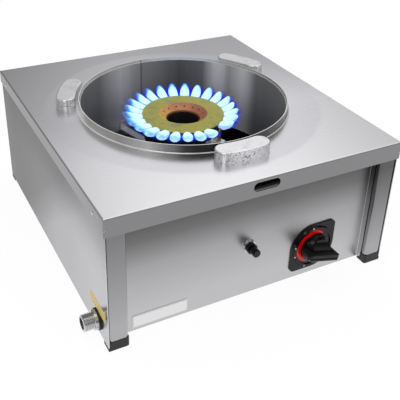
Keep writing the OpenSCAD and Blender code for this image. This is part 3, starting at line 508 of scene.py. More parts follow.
@dataclass(frozen=True)
class RingBurner:
    """Burner plate: heat-tinted olive and yellow on top; in the cone, pale gold on the left turning
    copper towards the right.
    """

    centre: Pair
    cone_r: float  # Radius at which the plate turns down into its cone.
    rough: float = 0.42
    metal: float = 0.55
    CONE_EDGE: ClassVar[Pair] = (-0.0006, 0.0004)
    CONE_DEEP: ClassVar[float] = 0.3  # How much a depth counts for in its colours, against a width.
    CONE_RUN: ClassVar[float] = 8.0  # How fast its colours change, per metre.
    TOP: ClassVar[Stops] = (
        (0.30, rgb(0.62, 0.66, 0.55)), (0.42, rgb(0.70, 0.69, 0.38)),
        (0.52, rgb(0.77, 0.74, 0.36)), (0.62, rgb(0.66, 0.67, 0.45)),
        (0.72, rgb(0.72, 0.62, 0.50)),
    )
    CONE: ClassVar[Stops] = (
        (0.28, rgb(1.0, 0.84, 0.46)), (0.5, rgb(0.86, 0.62, 0.42)),
        (0.68, rgb(0.76, 0.50, 0.40)),
    )

    def make(self, name: str) -> Material:
        """Builds the material."""
        g = SurfaceGraph(name)
        spot = g.around(self.centre)
        speck = g.noise(g.place, scale=420.0, detail=5.0)
        film = g.noise(g.place, scale=55.0, detail=4.0)
        top = g.ramp(film * 0.7 + speck * 0.3, self.TOP)
        # The cone's colours run from pale gold on the left to copper on the right, and a little
        # towards the back.
        slope = (spot.across + spot.deep * self.CONE_DEEP) * self.CONE_RUN
        cone = g.ramp(film * 0.3 + speck * 0.3 + slope + 0.2, self.CONE)
        inner, outer = self.CONE_EDGE
        outside = spot.reach().step(self.cone_r + inner, self.cone_r + outer)
        return g.surface(
            Base_Color=g.blend(outside, cone, top),
            Metallic=self.metal,
            Roughness=self.rough + speck * 0.2,
            Normal=g.bump(speck, strength=0.15, distance=0.0004),
        )


@dataclass(frozen=True)
class Cast:
    """Rough dark metal with a little rust."""

    colour: Colour
    metallic: float
    rough: float
    RUSTY: ClassVar[float] = 1.8

    def make(self, name: str) -> Material:
        """Builds the material."""
        g = SurfaceGraph(name)
        grit = g.noise(g.place, scale=520.0, detail=6.0)
        rust = g.noise(g.place, scale=60.0, detail=3.0)
        rusty = tuple(c * self.RUSTY for c in self.colour)
        return g.surface(
            Base_Color=g.blend(rust.step(0.45, 0.75), self.colour, rusty),
            Metallic=self.metallic,
            Roughness=self.rough + grit * 0.2 - 0.1,
            Normal=g.bump(grit, strength=0.4, distance=0.0006),
        )


@dataclass(frozen=True)
class TurnedMetal:
    """Machined or drawn metal with fine marks and some tarnish."""

    colour: Colour
    rough: float
    tarnish: float
    DULL: ClassVar[float] = 0.55

    def make(self, name: str) -> Material:
        """Builds the material."""
        g = SurfaceGraph(name)
        marks = g.noise(g.place, scale=1600.0, detail=2.0)
        cloud = g.noise(g.place, scale=90.0, detail=4.0)
        dull = tuple(c * self.DULL for c in self.colour)
        return g.surface(
            Base_Color=g.blend(cloud.step(0.4, 0.8) * self.tarnish, self.colour, dull),
            Metallic=1.0,
            Roughness=self.rough + cloud * 0.15 + marks * 0.08 - 0.08,
            Normal=g.bump(marks, strength=0.08, distance=0.0002),
        )


@dataclass(frozen=True)
class Moulded:
    """Moulded plastic or rubber with a fine grain and small scuffs."""

    colour: Colour
    rough: float
    grain: float
    coat: float = 0.0
    gloss: float = 0.5
    SCUFFED: ClassVar[Pair] = (1.6, 0.004)  # Factor by which a scuff is lighter, and what it adds.
    LEAST_ROUGH: ClassVar[float] = 0.03
    COAT_ROUGH: ClassVar[float] = 0.06

    def make(self, name: str) -> Material:
        """Builds the material."""
        g = SurfaceGraph(name)
        leather = g.noise(g.place, scale=1300.0, detail=3.0)
        scuff = g.noise(g.place, scale=45.0, detail=5.0)
        factor, more = self.SCUFFED
        pale = tuple(min(1.0, c * factor + more) for c in self.colour)
        rough = self.rough + scuff * 0.12 + leather * 0.06 - 0.08
        return g.surface(
            Base_Color=g.blend(scuff.step(0.5, 0.75) * 0.5, self.colour, pale),
            Roughness=rough.most(self.LEAST_ROUGH),
            Specular_IOR_Level=self.gloss,
            Coat_Weight=self.coat,
            Coat_Roughness=self.COAT_ROUGH,
            Normal=g.bump(leather, strength=self.grain, distance=0.0002),
        )


@dataclass(frozen=True)
class FlameGas:
    """Burning gas in petals, which fades at the tips and is thinner in the sheath."""

    centre: Pair
    base_r: float
    tip_r: float
    count: int
    turn: float
    solid: float  # How much the gas hides at most.
    core: bool  # Whether this is the pale core or the blue sheath.
    PALE_SIDE: ClassVar[Pair] = (-0.47, -0.88)  # To the front left, where the flames burn palest.
    CORE: ClassVar[Stops] = (
        (0.0, rgb(0.88, 1.0, 1.0)), (0.34, rgb(0.74, 0.98, 1.0)),
        (0.52, rgb(0.52, 0.85, 1.0)), (0.70, rgb(0.26, 0.50, 1.0)),
        (0.88, rgb(0.20, 0.20, 0.96)),
    )
    SHEATH: ClassVar[Stops] = (
        (0.0, rgb(0.14, 0.38, 1.0)), (0.5, rgb(0.06, 0.12, 0.92)),
        (1.0, rgb(0.24, 0.10, 0.78)),
    )
    GLOW: ClassVar[float] = 1.1
    TIP_FADE: ClassVar[Pair] = (0.72, 1.10)  # Along a petal, from its foot at 0 to its tip at 1.
    FOOT_FADE: ClassVar[Pair] = (0.0, 0.10)

    def make(self, name: str) -> Material:
        """Builds the material."""
        g = SurfaceGraph(name)
        spot = g.around(self.centre)
        reach = spot.reach()
        run = (reach - self.base_r) / (self.tip_r - self.base_r)
        petal = (spot.turn() - turn_share(self.turn)) * self.count
        # 0 along the middle of a petal and 1 between two of them
        side = abs((petal + 0.5).fraction() - 0.5) * 2.0
        flicker = g.noise(g.place, scale=120.0, detail=2.0)
        towards = spot.across * self.PALE_SIDE[0] + spot.deep * self.PALE_SIDE[1]
        front = towards / reach * 0.5 + 0.5
        edge = side * (0.45 + run.step(0.3, 1.0) * 0.5) + (flicker - 0.5) * 0.35 - front * 0.15
        heat = edge * 0.75 + run.step(0.5, 1.02) * (0.6 - front * 0.25)
        near = 1.0 if self.core else 1.0 - front * 0.5
        tip = 1.0 - run.step(*self.TIP_FADE) * 0.9
        foot = 0.8 + run.step(*self.FOOT_FADE) * 0.2
        made = g.surface(
            Base_Color=BLACK,
            Roughness=1.0,
            Specular_IOR_Level=0.0,
            Emission_Color=g.ramp(heat, self.CORE if self.core else self.SHEATH),
            Emission_Strength=self.GLOW,
            Alpha=tip * foot * near * self.solid,
        )
        made.surface_render_method = "BLENDED"
        return made


def add_object(name: str, data: ID) -> Object:
    """Adds an object to the scene."""
    thing = bpy.data.objects.new(name, data)
    bpy.context.scene.collection.objects.link(thing)
    return thing


def new_piece(name: str, mesh: Mesh, material: Material) -> Object:
    """Adds a piece that rides on the cabinet."""
    piece = add_object(name, mesh)
    mesh.materials.append(material)
    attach(piece, CABINET)
    LOG.info("made %s with %d faces", name, len(mesh.polygons))
    return piece


def dress(finishes: dict[str, Finish]) -> None:
    """Gives each named CAD node its finish."""
    for node, finish in finishes.items():
        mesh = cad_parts[node].data
        mesh.materials.clear()
        mesh.materials.append(finish.make(f"{node}_finish"))
        for face in mesh.polygons:
            face.material_index = 0
        LOG.info("dressed %s", node)


def tidy(mesh: Mesh, smooth: bool) -> None:
    """Welds double points, turns faces outwards and sets their shading."""
    work = bmesh.new()
    work.from_mesh(mesh)
    bmesh.ops.remove_doubles(work, verts=work.verts, dist=1e-7)
    bmesh.ops.recalc_face_normals(work, faces=work.faces)
    work.to_mesh(mesh)
    work.free()
    for face in mesh.polygons:
        face.use_smooth = smooth
    mesh.update()


def grid_mesh(
    name: str, rows: Sequence[Sequence[Vector]], closed: bool = True, smooth: bool = True
) -> Mesh:
    """Skins rows of points, each joined to the next. Closed rows are loops."""
    wide = len(rows[0])
    points = [tuple(point) for row in rows for point in row]
    faces = []
    for i in range(len(rows) - 1):
        for k in range(wide if closed else wide - 1):
            n = (k + 1) % wide
            faces.append((i * wide + k, i * wide + n, (i + 1) * wide + n, (i + 1) * wide + k))
    mesh = bpy.data.meshes.new(name)
    mesh.from_pydata(points, [], faces)
    tidy(mesh, smooth)
    return mesh


def joined(name: str, meshes: Sequence[Mesh]) -> Mesh:
    """Puts several meshes into one that is shaded smooth, and uses them up."""
    work = bmesh.new()
    for mesh in meshes:
        work.from_mesh(mesh)
        bpy.data.meshes.remove(mesh)
    whole = bpy.data.meshes.new(name)
    work.to_mesh(whole)
    work.free()
    for face in whole.polygons:
        face.use_smooth = True
    return whole


@dataclass(frozen=True)
class FlatPlate:
    """A thin plate with round corners."""

    size: Pair
    corner: float
    thick: float
    bevel: float = 0.0
    steps: int = 6

    def outline(self) -> list[Pair]:
        """Gives its outline round the middle, in its own plane and anticlockwise."""
        points = []
        for corner in range(4):
            x = (self.size[0] / 2 - self.corner) * (1 if corner in (0, 3) else -1)
            y = (self.size[1] / 2 - self.corner) * (1 if corner in (0, 1) else -1)
            for i in range(self.steps + 1):
                a = (corner + i / self.steps) * math.pi / 2
                points.append((x + self.corner * math.cos(a), y + self.corner * math.sin(a)))
        return points

    def mesh(self, name: str, spot: Vector, facing: Facing) -> Mesh:
        """Makes the plate. The spot is where the middle of its back lies."""
        work = bmesh.new()
        back = work.faces.new([work.verts.new((x, y, 0.0)) for x, y in self.outline()])
        grown = bmesh.ops.extrude_face_region(work, geom=[back])
        top = [v for v in grown["geom"] if isinstance(v, bmesh.types.BMVert)]
        bmesh.ops.translate(work, verts=top, vec=(0.0, 0.0, self.thick))
        if self.bevel > 0.0:
            edges = [e for e in work.edges if all(v in top for v in e.verts)]
            bmesh.ops.bevel(work, geom=edges, offset=self.bevel, segments=2, affect="EDGES")
        placed = Matrix.Translation(spot) @ facing.turn()
        bmesh.ops.transform(work, matrix=placed, verts=work.verts)
        bmesh.ops.recalc_face_normals(work, faces=work.faces)
        mesh = bpy.data.meshes.new(name)
        work.to_mesh(mesh)
        work.free()
        return mesh


def burner_top() -> Vector:
    """Gives the middle of the burner plate's top face, which lies on the well's axis."""
    low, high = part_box("burner_cap")
    return Vector(((low.x + high.x) / 2, (low.y + high.y) / 2, high.z))


@dataclass
class Cabinet:
    """Folded cabinet: lid, skins, legs, panels, feet and the trim on them."""

    plate: FlatPlate = FlatPlate((0.072, 0.018), corner=0.0015, thick=0.0006, bevel=0.0002)
    plate_face: FlatPlate = FlatPlate((0.069, 0.015), corner=0.001, thick=0.0003, bevel=0.0001)
    plate_edge: Pair = (0.0105, 0.0045)  # From the left leg's inner edge and the panel's foot.
    label: FlatPlate = FlatPlate((0.050, 0.014), corner=0.0015, thick=0.0002)
    label_at: Pair = (0.0320, 0.0425)  # Behind the cabinet's front, and above the floor.
    finishes: dict[str, Finish] = field(default_factory=dict)
    # Painted shadow under the lid's lip on the front and rear panels, darker towards the top; the
    # hidden top fold is painted near black.
    PANEL_LID_SHADOW: ClassVar[Shares] = (
        (0.03, 1.0), (0.068, 0.93), (0.094, 0.86), (0.112, 0.745), (0.130, 0.61),
        (0.150, 0.52), (0.157, 0.50), (0.159, 0.12),
    )
    # Painted reflection on the lid round the well: lightest across the front, darker to the right
    # and back.
    LID_PAINTED_REFLECTION: ClassVar[Shares] = (
        (-180.0, 0.92), (-165.0, 0.96), (-148.0, 1.0), (-18.0, 1.0), (8.0, 0.90),
        (30.0, 0.83), (60.0, 0.81), (90.0, 0.86), (130.0, 0.88), (180.0, 0.92),
    )
    # Painted shadow under the lid on the side skins, darker towards the top.
    SKIN_LID_SHADOW: ClassVar[Shares] = (
        (0.03, 0.95), (0.09, 0.94), (0.11, 0.91), (0.125, 0.87), (0.14, 0.80),
        (0.155, 0.745),
    )
    # Painted reflection on the side skins, darker towards the back.
    SKIN_PAINTED_REFLECTION: ClassVar[Shares] = (
        (-0.17, 1.0), (-0.08, 0.935), (-0.02, 0.91), (0.04, 0.82), (0.10, 0.70),
        (0.16, 0.58), (0.2, 0.57),
    )
    # Painted sheen on the side skins, along a diagonal: darker behind and higher up.
    SKIN_PAINTED_SHEEN: ClassVar[Shares] = ((0.06, 1.0), (0.104, 0.86), (0.15, 0.72))
    # Painted shadow under the lid on the legs; deeper on the far front leg.
    LEG_LID_SHADOW: ClassVar[Shares] = ((0.03, 1.0), (0.155, 0.74))
    FAR_LEG_LID_SHADOW: ClassVar[Shares] = ((0.03, 1.0), (0.15, 0.58))
    # Painted reflections and shade on the well collar, darkest across the front.
    COLLAR_PAINTED_REFLECTIONS: ClassVar[Shares] = (
        (-180.0, 0.84), (-150.0, 0.74), (-134.0, 0.90), (-125.0, 0.58), (-116.0, 0.20),
        (-84.0, 0.18), (-62.0, 0.48), (-20.0, 0.66), (60.0, 1.0), (180.0, 0.96),
    )

    def __post_init__(self) -> None:
        """Names the finish of each piece."""
        well = burner_top()
        middle = (well.x, well.y)
        lid = SheetSteel(
            1.0,
            Grain.ALONG_X,
            rough=0.26,
            marks=0.04,
            # Painted shade: the lid's upright lip keeps a quarter of its tone.
            painted_upright_shade=0.25,
            centre=middle,
            round=self.LID_PAINTED_REFLECTION,
        )
        tones = {"painted_lid_shadow": self.SKIN_LID_SHADOW, "run": self.SKIN_PAINTED_REFLECTION, "painted_sheen": self.SKIN_PAINTED_SHEEN}
        skin = SheetSteel(0.89, Grain.ALONG_Y, rough=0.20, marks=0.04, glance=0.74, **tones)
        panel = SheetSteel(0.77, Grain.ALONG_X, rough=0.34, marks=0.05, painted_lid_shadow=self.PANEL_LID_SHADOW)
        leg = SheetSteel(0.69, Grain.ALONG_Z, rough=0.26, marks=0.05, painted_lid_shadow=self.LEG_LID_SHADOW)
        # Painted shade: a darker copy of the leg finish, with deeper painted lid shadow, for the
        # far front leg.
        far_leg_shaded = SheetSteel(0.66, Grain.ALONG_Z, rough=0.26, marks=0.05, painted_lid_shadow=self.FAR_LEG_LID_SHADOW)
        foot = Moulded(RUBBER, rough=0.5, grain=0.2)
        painted_reflections = self.COLLAR_PAINTED_REFLECTIONS
        collar = WellSteel(middle, tone=0.99, rough=0.16, metal=0.3, painted_reflections=painted_reflections)
        self.finishes = {
            "top_panel": lid,
            "well_collar": collar,
            "lid_rivets": SheetSteel(0.82, Grain.NONE, rough=0.26, marks=0.05),
            "left_side_panel": skin, "right_side_panel": skin, "front_left_leg": leg,
            "front_right_leg": far_leg_shaded, "rear_left_leg": leg, "rear_right_leg": leg,
            "front_panel": panel, "rear_panel": panel,
            "rear_screws": SheetSteel(0.75, Grain.NONE, rough=0.3, marks=0.06),
            "base_plate": Cast(RUBBER, metallic=0.3, rough=0.5),
            "front_left_foot": foot, "front_right_foot": foot, "rear_left_foot": foot,
            "rear_right_foot": foot,
        }

    def build(self) -> None:
        """Dresses the cabinet and adds its plate and its label."""
        dress(self.finishes)
        self._name_plate()
        self._side_label()

    def _name_plate(self) -> None:
        """Adds the bare plate low on the front panel, with its border."""
        wide, high = self.plate.size
        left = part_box("front_left_leg")[1].x + self.plate_edge[0]
        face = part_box("bezel")[1].y
        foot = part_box("front_panel")[0].z + self.plate_edge[1]
        spot = Vector((left + wide / 2, face, foot + high / 2))
        alloy = TurnedMetal(grey(0.86), rough=0.3, tarnish=0.1)
        whole = self.plate.mesh("bare_plate", spot, Facing.FRONT)
        new_piece("bare_plate", whole, alloy.make("plate_alloy"))
        brushed = SheetSteel(0.9, Grain.ALONG_X, rough=0.32, marks=0.05)
        ahead = spot - Vector((0.0, self.plate.thick, 0.0))
        inner = self.plate_face.mesh("plate_border", ahead, Facing.FRONT)
        new_piece("plate_face", inner, brushed.make("plate_face"))

    def _side_label(self) -> None:
        """Adds the plain yellow label on the left skin."""
        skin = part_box("left_side_panel")[0]
        spot = Vector((skin.x, skin.y + self.label_at[0], self.label_at[1]))
        film = Moulded(rgb(1.0, 0.89, 0.52), rough=0.45, grain=0.05)
        mesh = self.label.mesh("side_label", spot, Facing.LEFT)
        new_piece("side_label", mesh, film.make("label_film"))


@dataclass
class Burner:
    """Well, supports, ring burner and its flames."""

    count: int = 25
    base_r: float = 0.0560
    tip_r: float = 0.0800
    width: float = 0.0140
    thick: float = 0.012
    drop: float = 0.0050  # Depth of the petals' middle below the plate's top.
    rise: float = 0.0098  # How far a petal's tip climbs.
    draught: Pair = (0.045, 0.42)  # Shares: further to one side, and higher at another.
    draught_at: Pair = (152.0, 62.0)  # Where they do so most, in degrees.
    turn: float = 4.0
    gap: float = -72.0  # Angle at which one petal stays out, beside the probes.
    port_share: float = 0.72  # Share of its full width that a petal has at its port.
    taper: float = 4.5  # How late along its length it closes to its tip.
    waver: float = 0.02  # How unevenly far the petals reach.
    waves: Pair = (7.0, 11.0)  # Numbers of waves of that in a turn.
    sheath_more: float = 0.16  # Further reach for each width that the sheath adds.
    cone_r: float = 0.0337
    PETAL_LONG: ClassVar[int] = 10
    PETAL_ROUND: ClassVar[int] = 12

    def build(self) -> None:
        """Dresses the well and the burner and lights the flames."""
        middle = burner_top()
        axis = (middle.x, middle.y)
        support = PolishedCasting()
        strap = SheetSteel(0.86, Grain.NONE, rough=0.30, marks=0.08, metal=0.6)
        screw = SheetSteel(0.72, Grain.NONE, rough=0.34, marks=0.06)
        iron = Cast((0.02, 0.018, 0.017), metallic=0.6, rough=0.6)
        china = Moulded(rgb(0.93, 0.91, 0.87), rough=0.25, grain=0.05, coat=0.5)
        dress(
            {
                "well_liner": WellSteel(axis),
                "wok_support_left": support, "wok_support_right": support,
                "wok_support_front": support, "support_screws": screw, "burner_stand": strap,
                "stand_screws": screw, "burner_body": iron,
                "burner_cap": RingBurner(axis, self.cone_r),
                "mixing_tube": iron, "tube_screws": screw, "air_shutter": strap,
                "probe_bracket": strap,
                "spark_electrode": TurnedMetal(grey(0.75), rough=0.3, tarnish=0.2),
                "electrode_insulator": china,
                "thermocouple": TurnedMetal(rgb(0.80, 0.62, 0.48), rough=0.3, tarnish=0.4),
                "thermocouple_lead": TurnedMetal(rgb(0.80, 0.50, 0.34), rough=0.3, tarnish=0.3),
                "ignition_lead": Moulded(rgb(0.55, 0.10, 0.08), rough=0.4, grain=0.1),
            }
        )
        self._flames(middle)

    def _petal(
        self, middle: Vector, angle: float, swell: float, flat: float
    ) -> list[list[Vector]]:
        """Gives a petal's rings from port to tip, wider and higher than the pale core's."""
        out = Vector((math.cos(angle), math.sin(angle), 0.0))
        side = Vector((-out.y, out.x, 0.0))
        up = Vector((0.0, 0.0, 1.0))
        left, back = (math.cos(angle - math.radians(at)) for at in self.draught_at)
        few, many = self.waves
        wobble = math.sin(angle * few) * 0.5 + math.sin(angle * many + 1.0) * 0.5
        lean = (1.0 + self.draught[0] * left) * (1.0 + self.waver * wobble)
        tip = self.tip_r * lean * (1.0 + self.sheath_more * (swell - 1.0))
        climb = self.rise * (1.0 + self.draught[1] * back)
        angles = [k * 2 * math.pi / self.PETAL_ROUND for k in range(self.PETAL_ROUND)]
        rings = []
        for i in range(self.PETAL_LONG + 1):
            s = i / self.PETAL_LONG
            opened = self.port_share + (1.0 - self.port_share) * min(1.0, s * 3.0)
            swollen = opened * math.sqrt(1.0 - s**self.taper)
            wide = side * (self.width / 2 * swell * swollen)
            high = up * (self.thick / 2 * flat * swollen)
            reach = self.base_r + (tip - self.base_r) * s
            core = middle + out * reach - up * (self.drop - climb * s * s)
            rings.append([core + wide * math.cos(a) + high * math.sin(a) for a in angles])
        return rings

    def _flames(self, middle: Vector) -> None:
        """Adds the pale cores and the blue sheaths of all petals."""
        axis = (middle.x, middle.y)
        for name, swell, flat, core, solid in (
            ("flame_core", 1.0, 1.0, True, 0.98),
            ("flame_sheath", 1.5, 0.55, False, 0.72),
        ):
            meshes = []
            for i in range(self.count):
                degrees = (self.turn + i * 360.0 / self.count + 180.0) % 360.0 - 180.0
                if abs(degrees - self.gap) >= 180.0 / self.count:
                    rings = self._petal(middle, math.radians(degrees), swell, flat)
                    meshes.append(grid_mesh(name, rings))
            gas = FlameGas(axis, self.base_r, self.tip_r, self.count, self.turn, solid, core)
            new_piece(name, joined(name, meshes), gas.make(name))


@dataclass
class Controls:
    """Knob, bezel and igniter on the front panel."""

    band: Pair = (0.0188, 0.0256)
    band_arc: Pair = (52.0, 252.0)  # In degrees, counted from the right.
    band_in: float = 0.0030  # How far its floor lies before the bezel's back.
    band_thick: float = 0.0002
    band_ends: Pair = (1.15, 0.03)  # How soon it is at full width, and its least share.
    mark: FlatPlate = FlatPlate((0.0022, 0.0022), corner=0.0008, thick=0.0002, steps=3)
    mark_in: float = 0.0045  # How far their face lies before the bezel's back.
    mark_r: float = 0.0292
    mark_angles: tuple[float, ...] = (96.0, 168.0, 196.0, 246.0)
    BAND_STEPS: ClassVar[int] = 60

    def build(self) -> None:
        """Dresses the controls and adds the bezel's print."""
        black = (0.003, 0.003, 0.003)
        glossy = {"coat": 0.15, "gloss": 0.2}
        dress(
            {
                "knob": Moulded((0.002, 0.002, 0.002), rough=0.14, grain=0.03, **glossy),
                "bezel": Moulded((0.002, 0.002, 0.003), rough=0.12, grain=0.02, **glossy),
                "igniter_body": Moulded(black, rough=0.2, grain=0.04, gloss=0.25),
                "igniter_button": Moulded(black, rough=0.16, grain=0.03, coat=0.1, gloss=0.25),
                "igniter_collar": TurnedMetal(grey(0.86), rough=0.10, tarnish=0.2),
                "igniter_locknut": TurnedMetal(grey(0.8), rough=0.25, tarnish=0.2),
            }
        )
        low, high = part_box("bezel")
        axis = Vector(((low.x + high.x) / 2, high.y, (low.z + high.z) / 2))
        self._red_band(axis - Vector((0.0, self.band_in, 0.0)))
        self._marks(axis - Vector((0.0, self.mark_in, 0.0)))

    def _red_band(self, spot: Vector) -> None:
        """Adds the tapered red band on the floor of the bezel's dish, about that spot."""
        inner, outer = self.band
        start, end = (math.radians(a) for a in self.band_arc)
        rows = []
        for i in range(self.BAND_STEPS + 1):
            s = i / self.BAND_STEPS
            a = start + (end - start) * s
            full = min(1.0, math.sin(math.pi * s) ** 0.5 * self.band_ends[0])
            half = (outer - inner) / 2 * max(self.band_ends[1], full)
            near, far = (inner + outer) / 2 - half, (inner + outer) / 2 + half
            section = ((near, 0.0), (near, self.band_thick), (far, self.band_thick), (far, 0.0))
            rows.append(
                [spot + Vector((r * math.cos(a), -lift, r * math.sin(a))) for r, lift in section]
            )
        red = Moulded(rgb(1.0, 0.02, 0.04), rough=0.35, grain=0.05, coat=0.1)
        new_piece("red_band", grid_mesh("red_band", rows, smooth=False), red.make("band_red"))

    def _marks(self, spot: Vector) -> None:
        """Adds small plain marks on the bezel's ring, about that spot."""
        white = Moulded(rgb(0.9, 0.9, 0.9), rough=0.4, grain=0.05).make("mark_white")
        for number, degrees in enumerate(self.mark_angles):
            a = math.radians(degrees)
            at = spot + Vector((self.mark_r * math.cos(a), 0.0, self.mark_r * math.sin(a)))
            name = f"bezel_mark_{number}"
            new_piece(name, self.mark.mesh(name, at, Facing.FRONT), white)


@dataclass
class GasTrain:
    """Inlet, pipes, valve and jet."""

    crest: float = 0.010475
    pitch: float = 0.001814
    depth: float = 0.0011
    thread: float = 0.013
    run_out: float = 0.001  # Length over which the thread grows to full depth.
    ends: Pair = (0.0006, 0.0004)  # From the free end, and from the shoulder.
    rows_in: Pair = (0.0002, 0.0001)  # The same for the rows of points that carry it.
    flank: Pair = (2.6, 0.3)  # Steepness of its flanks, and how flat its crest is.
    neck: float = 0.0009  # How much slimmer the inlet is at the thread's ends.
    tip: float = 0.0012  # How much slimmer it is at its free end.
    bore: float = 0.0075
    shoulder: float = 0.0045
    slopes: Pair = (0.0005, 0.0004)
    sharp: float = 40.0  # Angle in degrees from which its edges shade sharp.
    AROUND: ClassVar[int] = 48
    THREAD_STEPS: ClassVar[int] = 84

    def build(self) -> None:
        """Dresses the gas train and cuts the thread on the inlet."""
        brass = TurnedMetal(rgb(0.82, 0.68, 0.38), rough=0.28, tarnish=0.35)
        plated = TurnedMetal(grey(0.78), rough=0.3, tarnish=0.25)
        dress(
            {
                "injector": brass, "injector_holder": brass, "pipe_nuts": brass,
                "inlet_union": brass, "valve_body": brass,
                "holder_bracket": SheetSteel(0.75, Grain.NONE, rough=0.32, marks=0.08),
                "supply_pipe": plated, "inlet_pipe": plated, "inlet_nipple": plated,
                "inlet_locknut": plated,
                "inlet_seal": Moulded(RUBBER, rough=0.55, grain=0.2),
                "valve_bonnet": plated, "bonnet_screws": plated, "magnet_unit": plated,
                "spring_sleeve": plated, "valve_spindle": plated,
            }
        )
        self._nipple()

    def _thread_r(self, along: float, x: float, a: float) -> float:
        """Gives the inlet's radius at an angle. Its turns are counted from x."""
        full = held((along - self.ends[0]) / self.run_out)
        full *= held((self.thread - self.ends[1] - along) / self.run_out)
        phase = (x / self.pitch - a / (2 * math.pi)) % 1.0
        cut = held(abs(phase - 0.5) * self.flank[0] - self.flank[1])
        return self.crest - self.depth * cut * full - self.neck * (1.0 - min(1.0, full * 2))

    def _nipple(self) -> None:
        """Builds the threaded inlet in place of its plain solid."""
        low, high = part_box("inlet_nipple")
        middle = (low + high) / 2
        wide = (high.y - low.y) / 2
        start = low.x + self.thread
        end = start + self.shoulder
        angles = [k * 2 * math.pi / self.AROUND for k in range(self.AROUND)]
        front, back = self.slopes
        stations = [(high.x, self.bore), (low.x, self.bore), (low.x, self.crest - self.tip)]
        outline = [(x, [radius] * self.AROUND) for x, radius in stations]
        length = self.thread - sum(self.rows_in)
        for i in range(self.THREAD_STEPS + 1):
            along = self.rows_in[0] + length * i / self.THREAD_STEPS
            x = low.x + along
            outline.append((x, [self._thread_r(along, x, a) for a in angles]))
        stations = [
            (start, self.crest - self.neck), (start, wide - front), (start + front, wide),
            (end - back, wide), (end, wide - back), (end, self.crest), (high.x, self.crest),
            (high.x, self.bore),
        ]
        outline += [(x, [radius] * self.AROUND) for x, radius in stations]
        rows = [
            [
                Vector((x, middle.y + r * math.cos(a), middle.z + r * math.sin(a)))
                for a, r in zip(angles, radii)
            ]
            for x, radii in outline
        ]
        mesh = grid_mesh("threaded_inlet", rows)
        mesh.shade_smooth()
        mesh.set_sharp_from_angle(angle=math.radians(self.sharp))
        bright = TurnedMetal(grey(0.84), rough=0.22, tarnish=0.2)
        piece = new_piece("threaded_inlet", mesh, bright.make("inlet_bright"))
        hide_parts("inlet_nipple")


@dataclass(frozen=True)
class Lamp:
    """A soft square lamp."""

    name: str
    at: Triple
    aim: Triple
    size: float
    watts: float

    def hang(self) -> None:
        """Adds the lamp to the scene."""
        light = bpy.data.lights.new(self.name, "AREA")
        light.shape = "SQUARE"
        light.size = self.size
        light.energy = self.watts
        holder = add_object(self.name, light)
        holder.location = self.at
        holder.rotation_mode = "QUATERNION"
        look = Vector(self.aim) - Vector(self.at)
        holder.rotation_quaternion = look.to_track_quat("-Z", "Y")


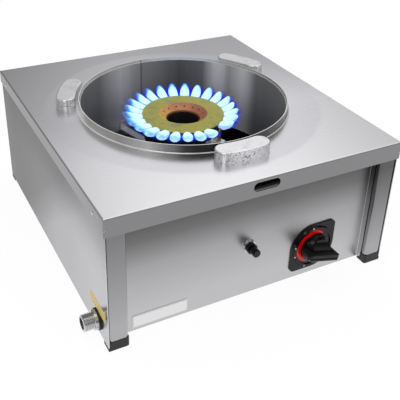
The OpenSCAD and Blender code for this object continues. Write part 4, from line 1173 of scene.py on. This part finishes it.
@dataclass
class Studio:
    """Floor, light and camera."""

    camera_at: Triple = (-0.38577, -0.76201, 0.59216)
    rows: tuple[Triple, Triple, Triple] = (  # The camera's right, down and forward directions.
        (0.88611, -0.46264, 0.02774),
        (-0.19780, -0.43162, -0.88010),
        (0.41915, 0.77438, -0.47397),
    )
    focal: float = 692.79  # In pixels of the picture, like centre.
    centre: Pair = (196.0, 140.0)
    picture: int = 400
    sensor: float = 36.0
    floor_half: float = 3.0
    floor_glow: Pair = (1.1, 0.85)  # White that the camera and metal see there, and its share.
    ambient: float = 0.62
    lamps: tuple[Lamp, ...] = (
        Lamp("key", (-0.45, -0.35, 1.5), (0.0, 0.0, 0.10), size=0.7, watts=3.2),
        Lamp("front", (-0.9, -1.3, 0.9), (0.0, 0.0, 0.08), size=0.8, watts=1.6),
    )
    SKY_HEIGHT: ClassVar[Shares] = ((0.0, 0.56), (0.33, 0.66), (0.42, 0.85), (0.50, 1.0))
    SKY_TURN: ClassVar[Shares] = (
        (0.14, 0.62), (0.22, 0.78), (0.30, 0.94), (0.42, 1.0), (0.54, 1.0), (0.62, 0.80),
    )

    def build(self) -> None:
        """Sets the whole stage."""
        bpy.context.scene.view_settings.view_transform = "Standard"
        self._camera()
        self._floor()
        self._world()
        for lamp in self.lamps:
            lamp.hang()

    def _camera(self) -> None:
        """Puts the camera where the photograph was taken from."""
        right, down, forward = (Vector(row) for row in self.rows)
        lens = bpy.data.cameras.new("camera")
        lens.sensor_width = self.sensor
        lens.lens = self.focal / self.picture * self.sensor
        lens.shift_x = (self.picture / 2 - self.centre[0]) / self.picture
        lens.shift_y = (self.centre[1] - self.picture / 2) / self.picture
        lens.clip_start = 0.01
        lens.clip_end = 30.0
        camera = add_object("camera", lens)
        turn = Matrix((right, -down, -forward)).transposed().to_4x4()
        camera.matrix_world = Matrix.Translation(self.camera_at) @ turn
        bpy.context.scene.camera = camera

    def _floor(self) -> None:
        """Adds the pale floor, which shows near white and keeps a soft shadow."""
        half = self.floor_half
        rows = [[Vector((x, y, 0.0)) for x in (-half, half)] for y in (-half, half)]
        floor = add_object("floor", grid_mesh("floor", rows, closed=False, smooth=False))
        g = SurfaceGraph("floor_pale")
        cloud = g.noise(g.place, scale=3.0, detail=2.0)
        pale = g.blend(cloud, grey(0.80), grey(0.83))
        g.surface(Base_Color=pale, Roughness=0.6, Specular_IOR_Level=0.2)
        strength, share = self.floor_glow
        camera, mirrored = g.rays()
        glow = g.node("ShaderNodeEmission", values={"Color": WHITE, "Strength": strength})
        g.mix_in(camera.most(mirrored) * share, g.shader, glow, "OUTPUT_MATERIAL")
        floor.data.materials.append(g.material)

    def _world(self) -> None:
        """Lights the scene evenly, and shows white to the camera and a shaded sky to metal."""
        world = bpy.data.worlds.new("studio")
        bpy.context.scene.world = world
        world.use_nodes = True
        g = Graph(world.node_tree)
        even = g.own("BACKGROUND")
        g.feed(even.inputs["Color"], WHITE)
        g.feed(even.inputs["Strength"], self.ambient)
        across, _, up = g.parts(g.node("ShaderNodeTexCoord", output="Generated"))
        height = g.ramp(up, [(at, grey(share)) for at, share in self.SKY_HEIGHT])
        turn = g.ramp(across, [(at, grey(share)) for at, share in self.SKY_TURN])
        camera, mirrored = g.rays()
        seen = g.blend(camera, g.times(height, turn), WHITE)
        shown = g.node("ShaderNodeBackground", values={"Color": seen, "Strength": 1.0})
        g.mix_in(camera.most(mirrored), even, shown, "OUTPUT_WORLD")


def main() -> None:
    """Builds the scene in order."""
    logging.basicConfig(level=logging.INFO, format="%(name)s: %(message)s")
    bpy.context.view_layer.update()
    for group in (Studio(), Cabinet(), Burner(), Controls(), GasTrain()):
        group.build()
        LOG.info("%s is ready", type(group).__name__)


if __name__ == "__main__":
    main()
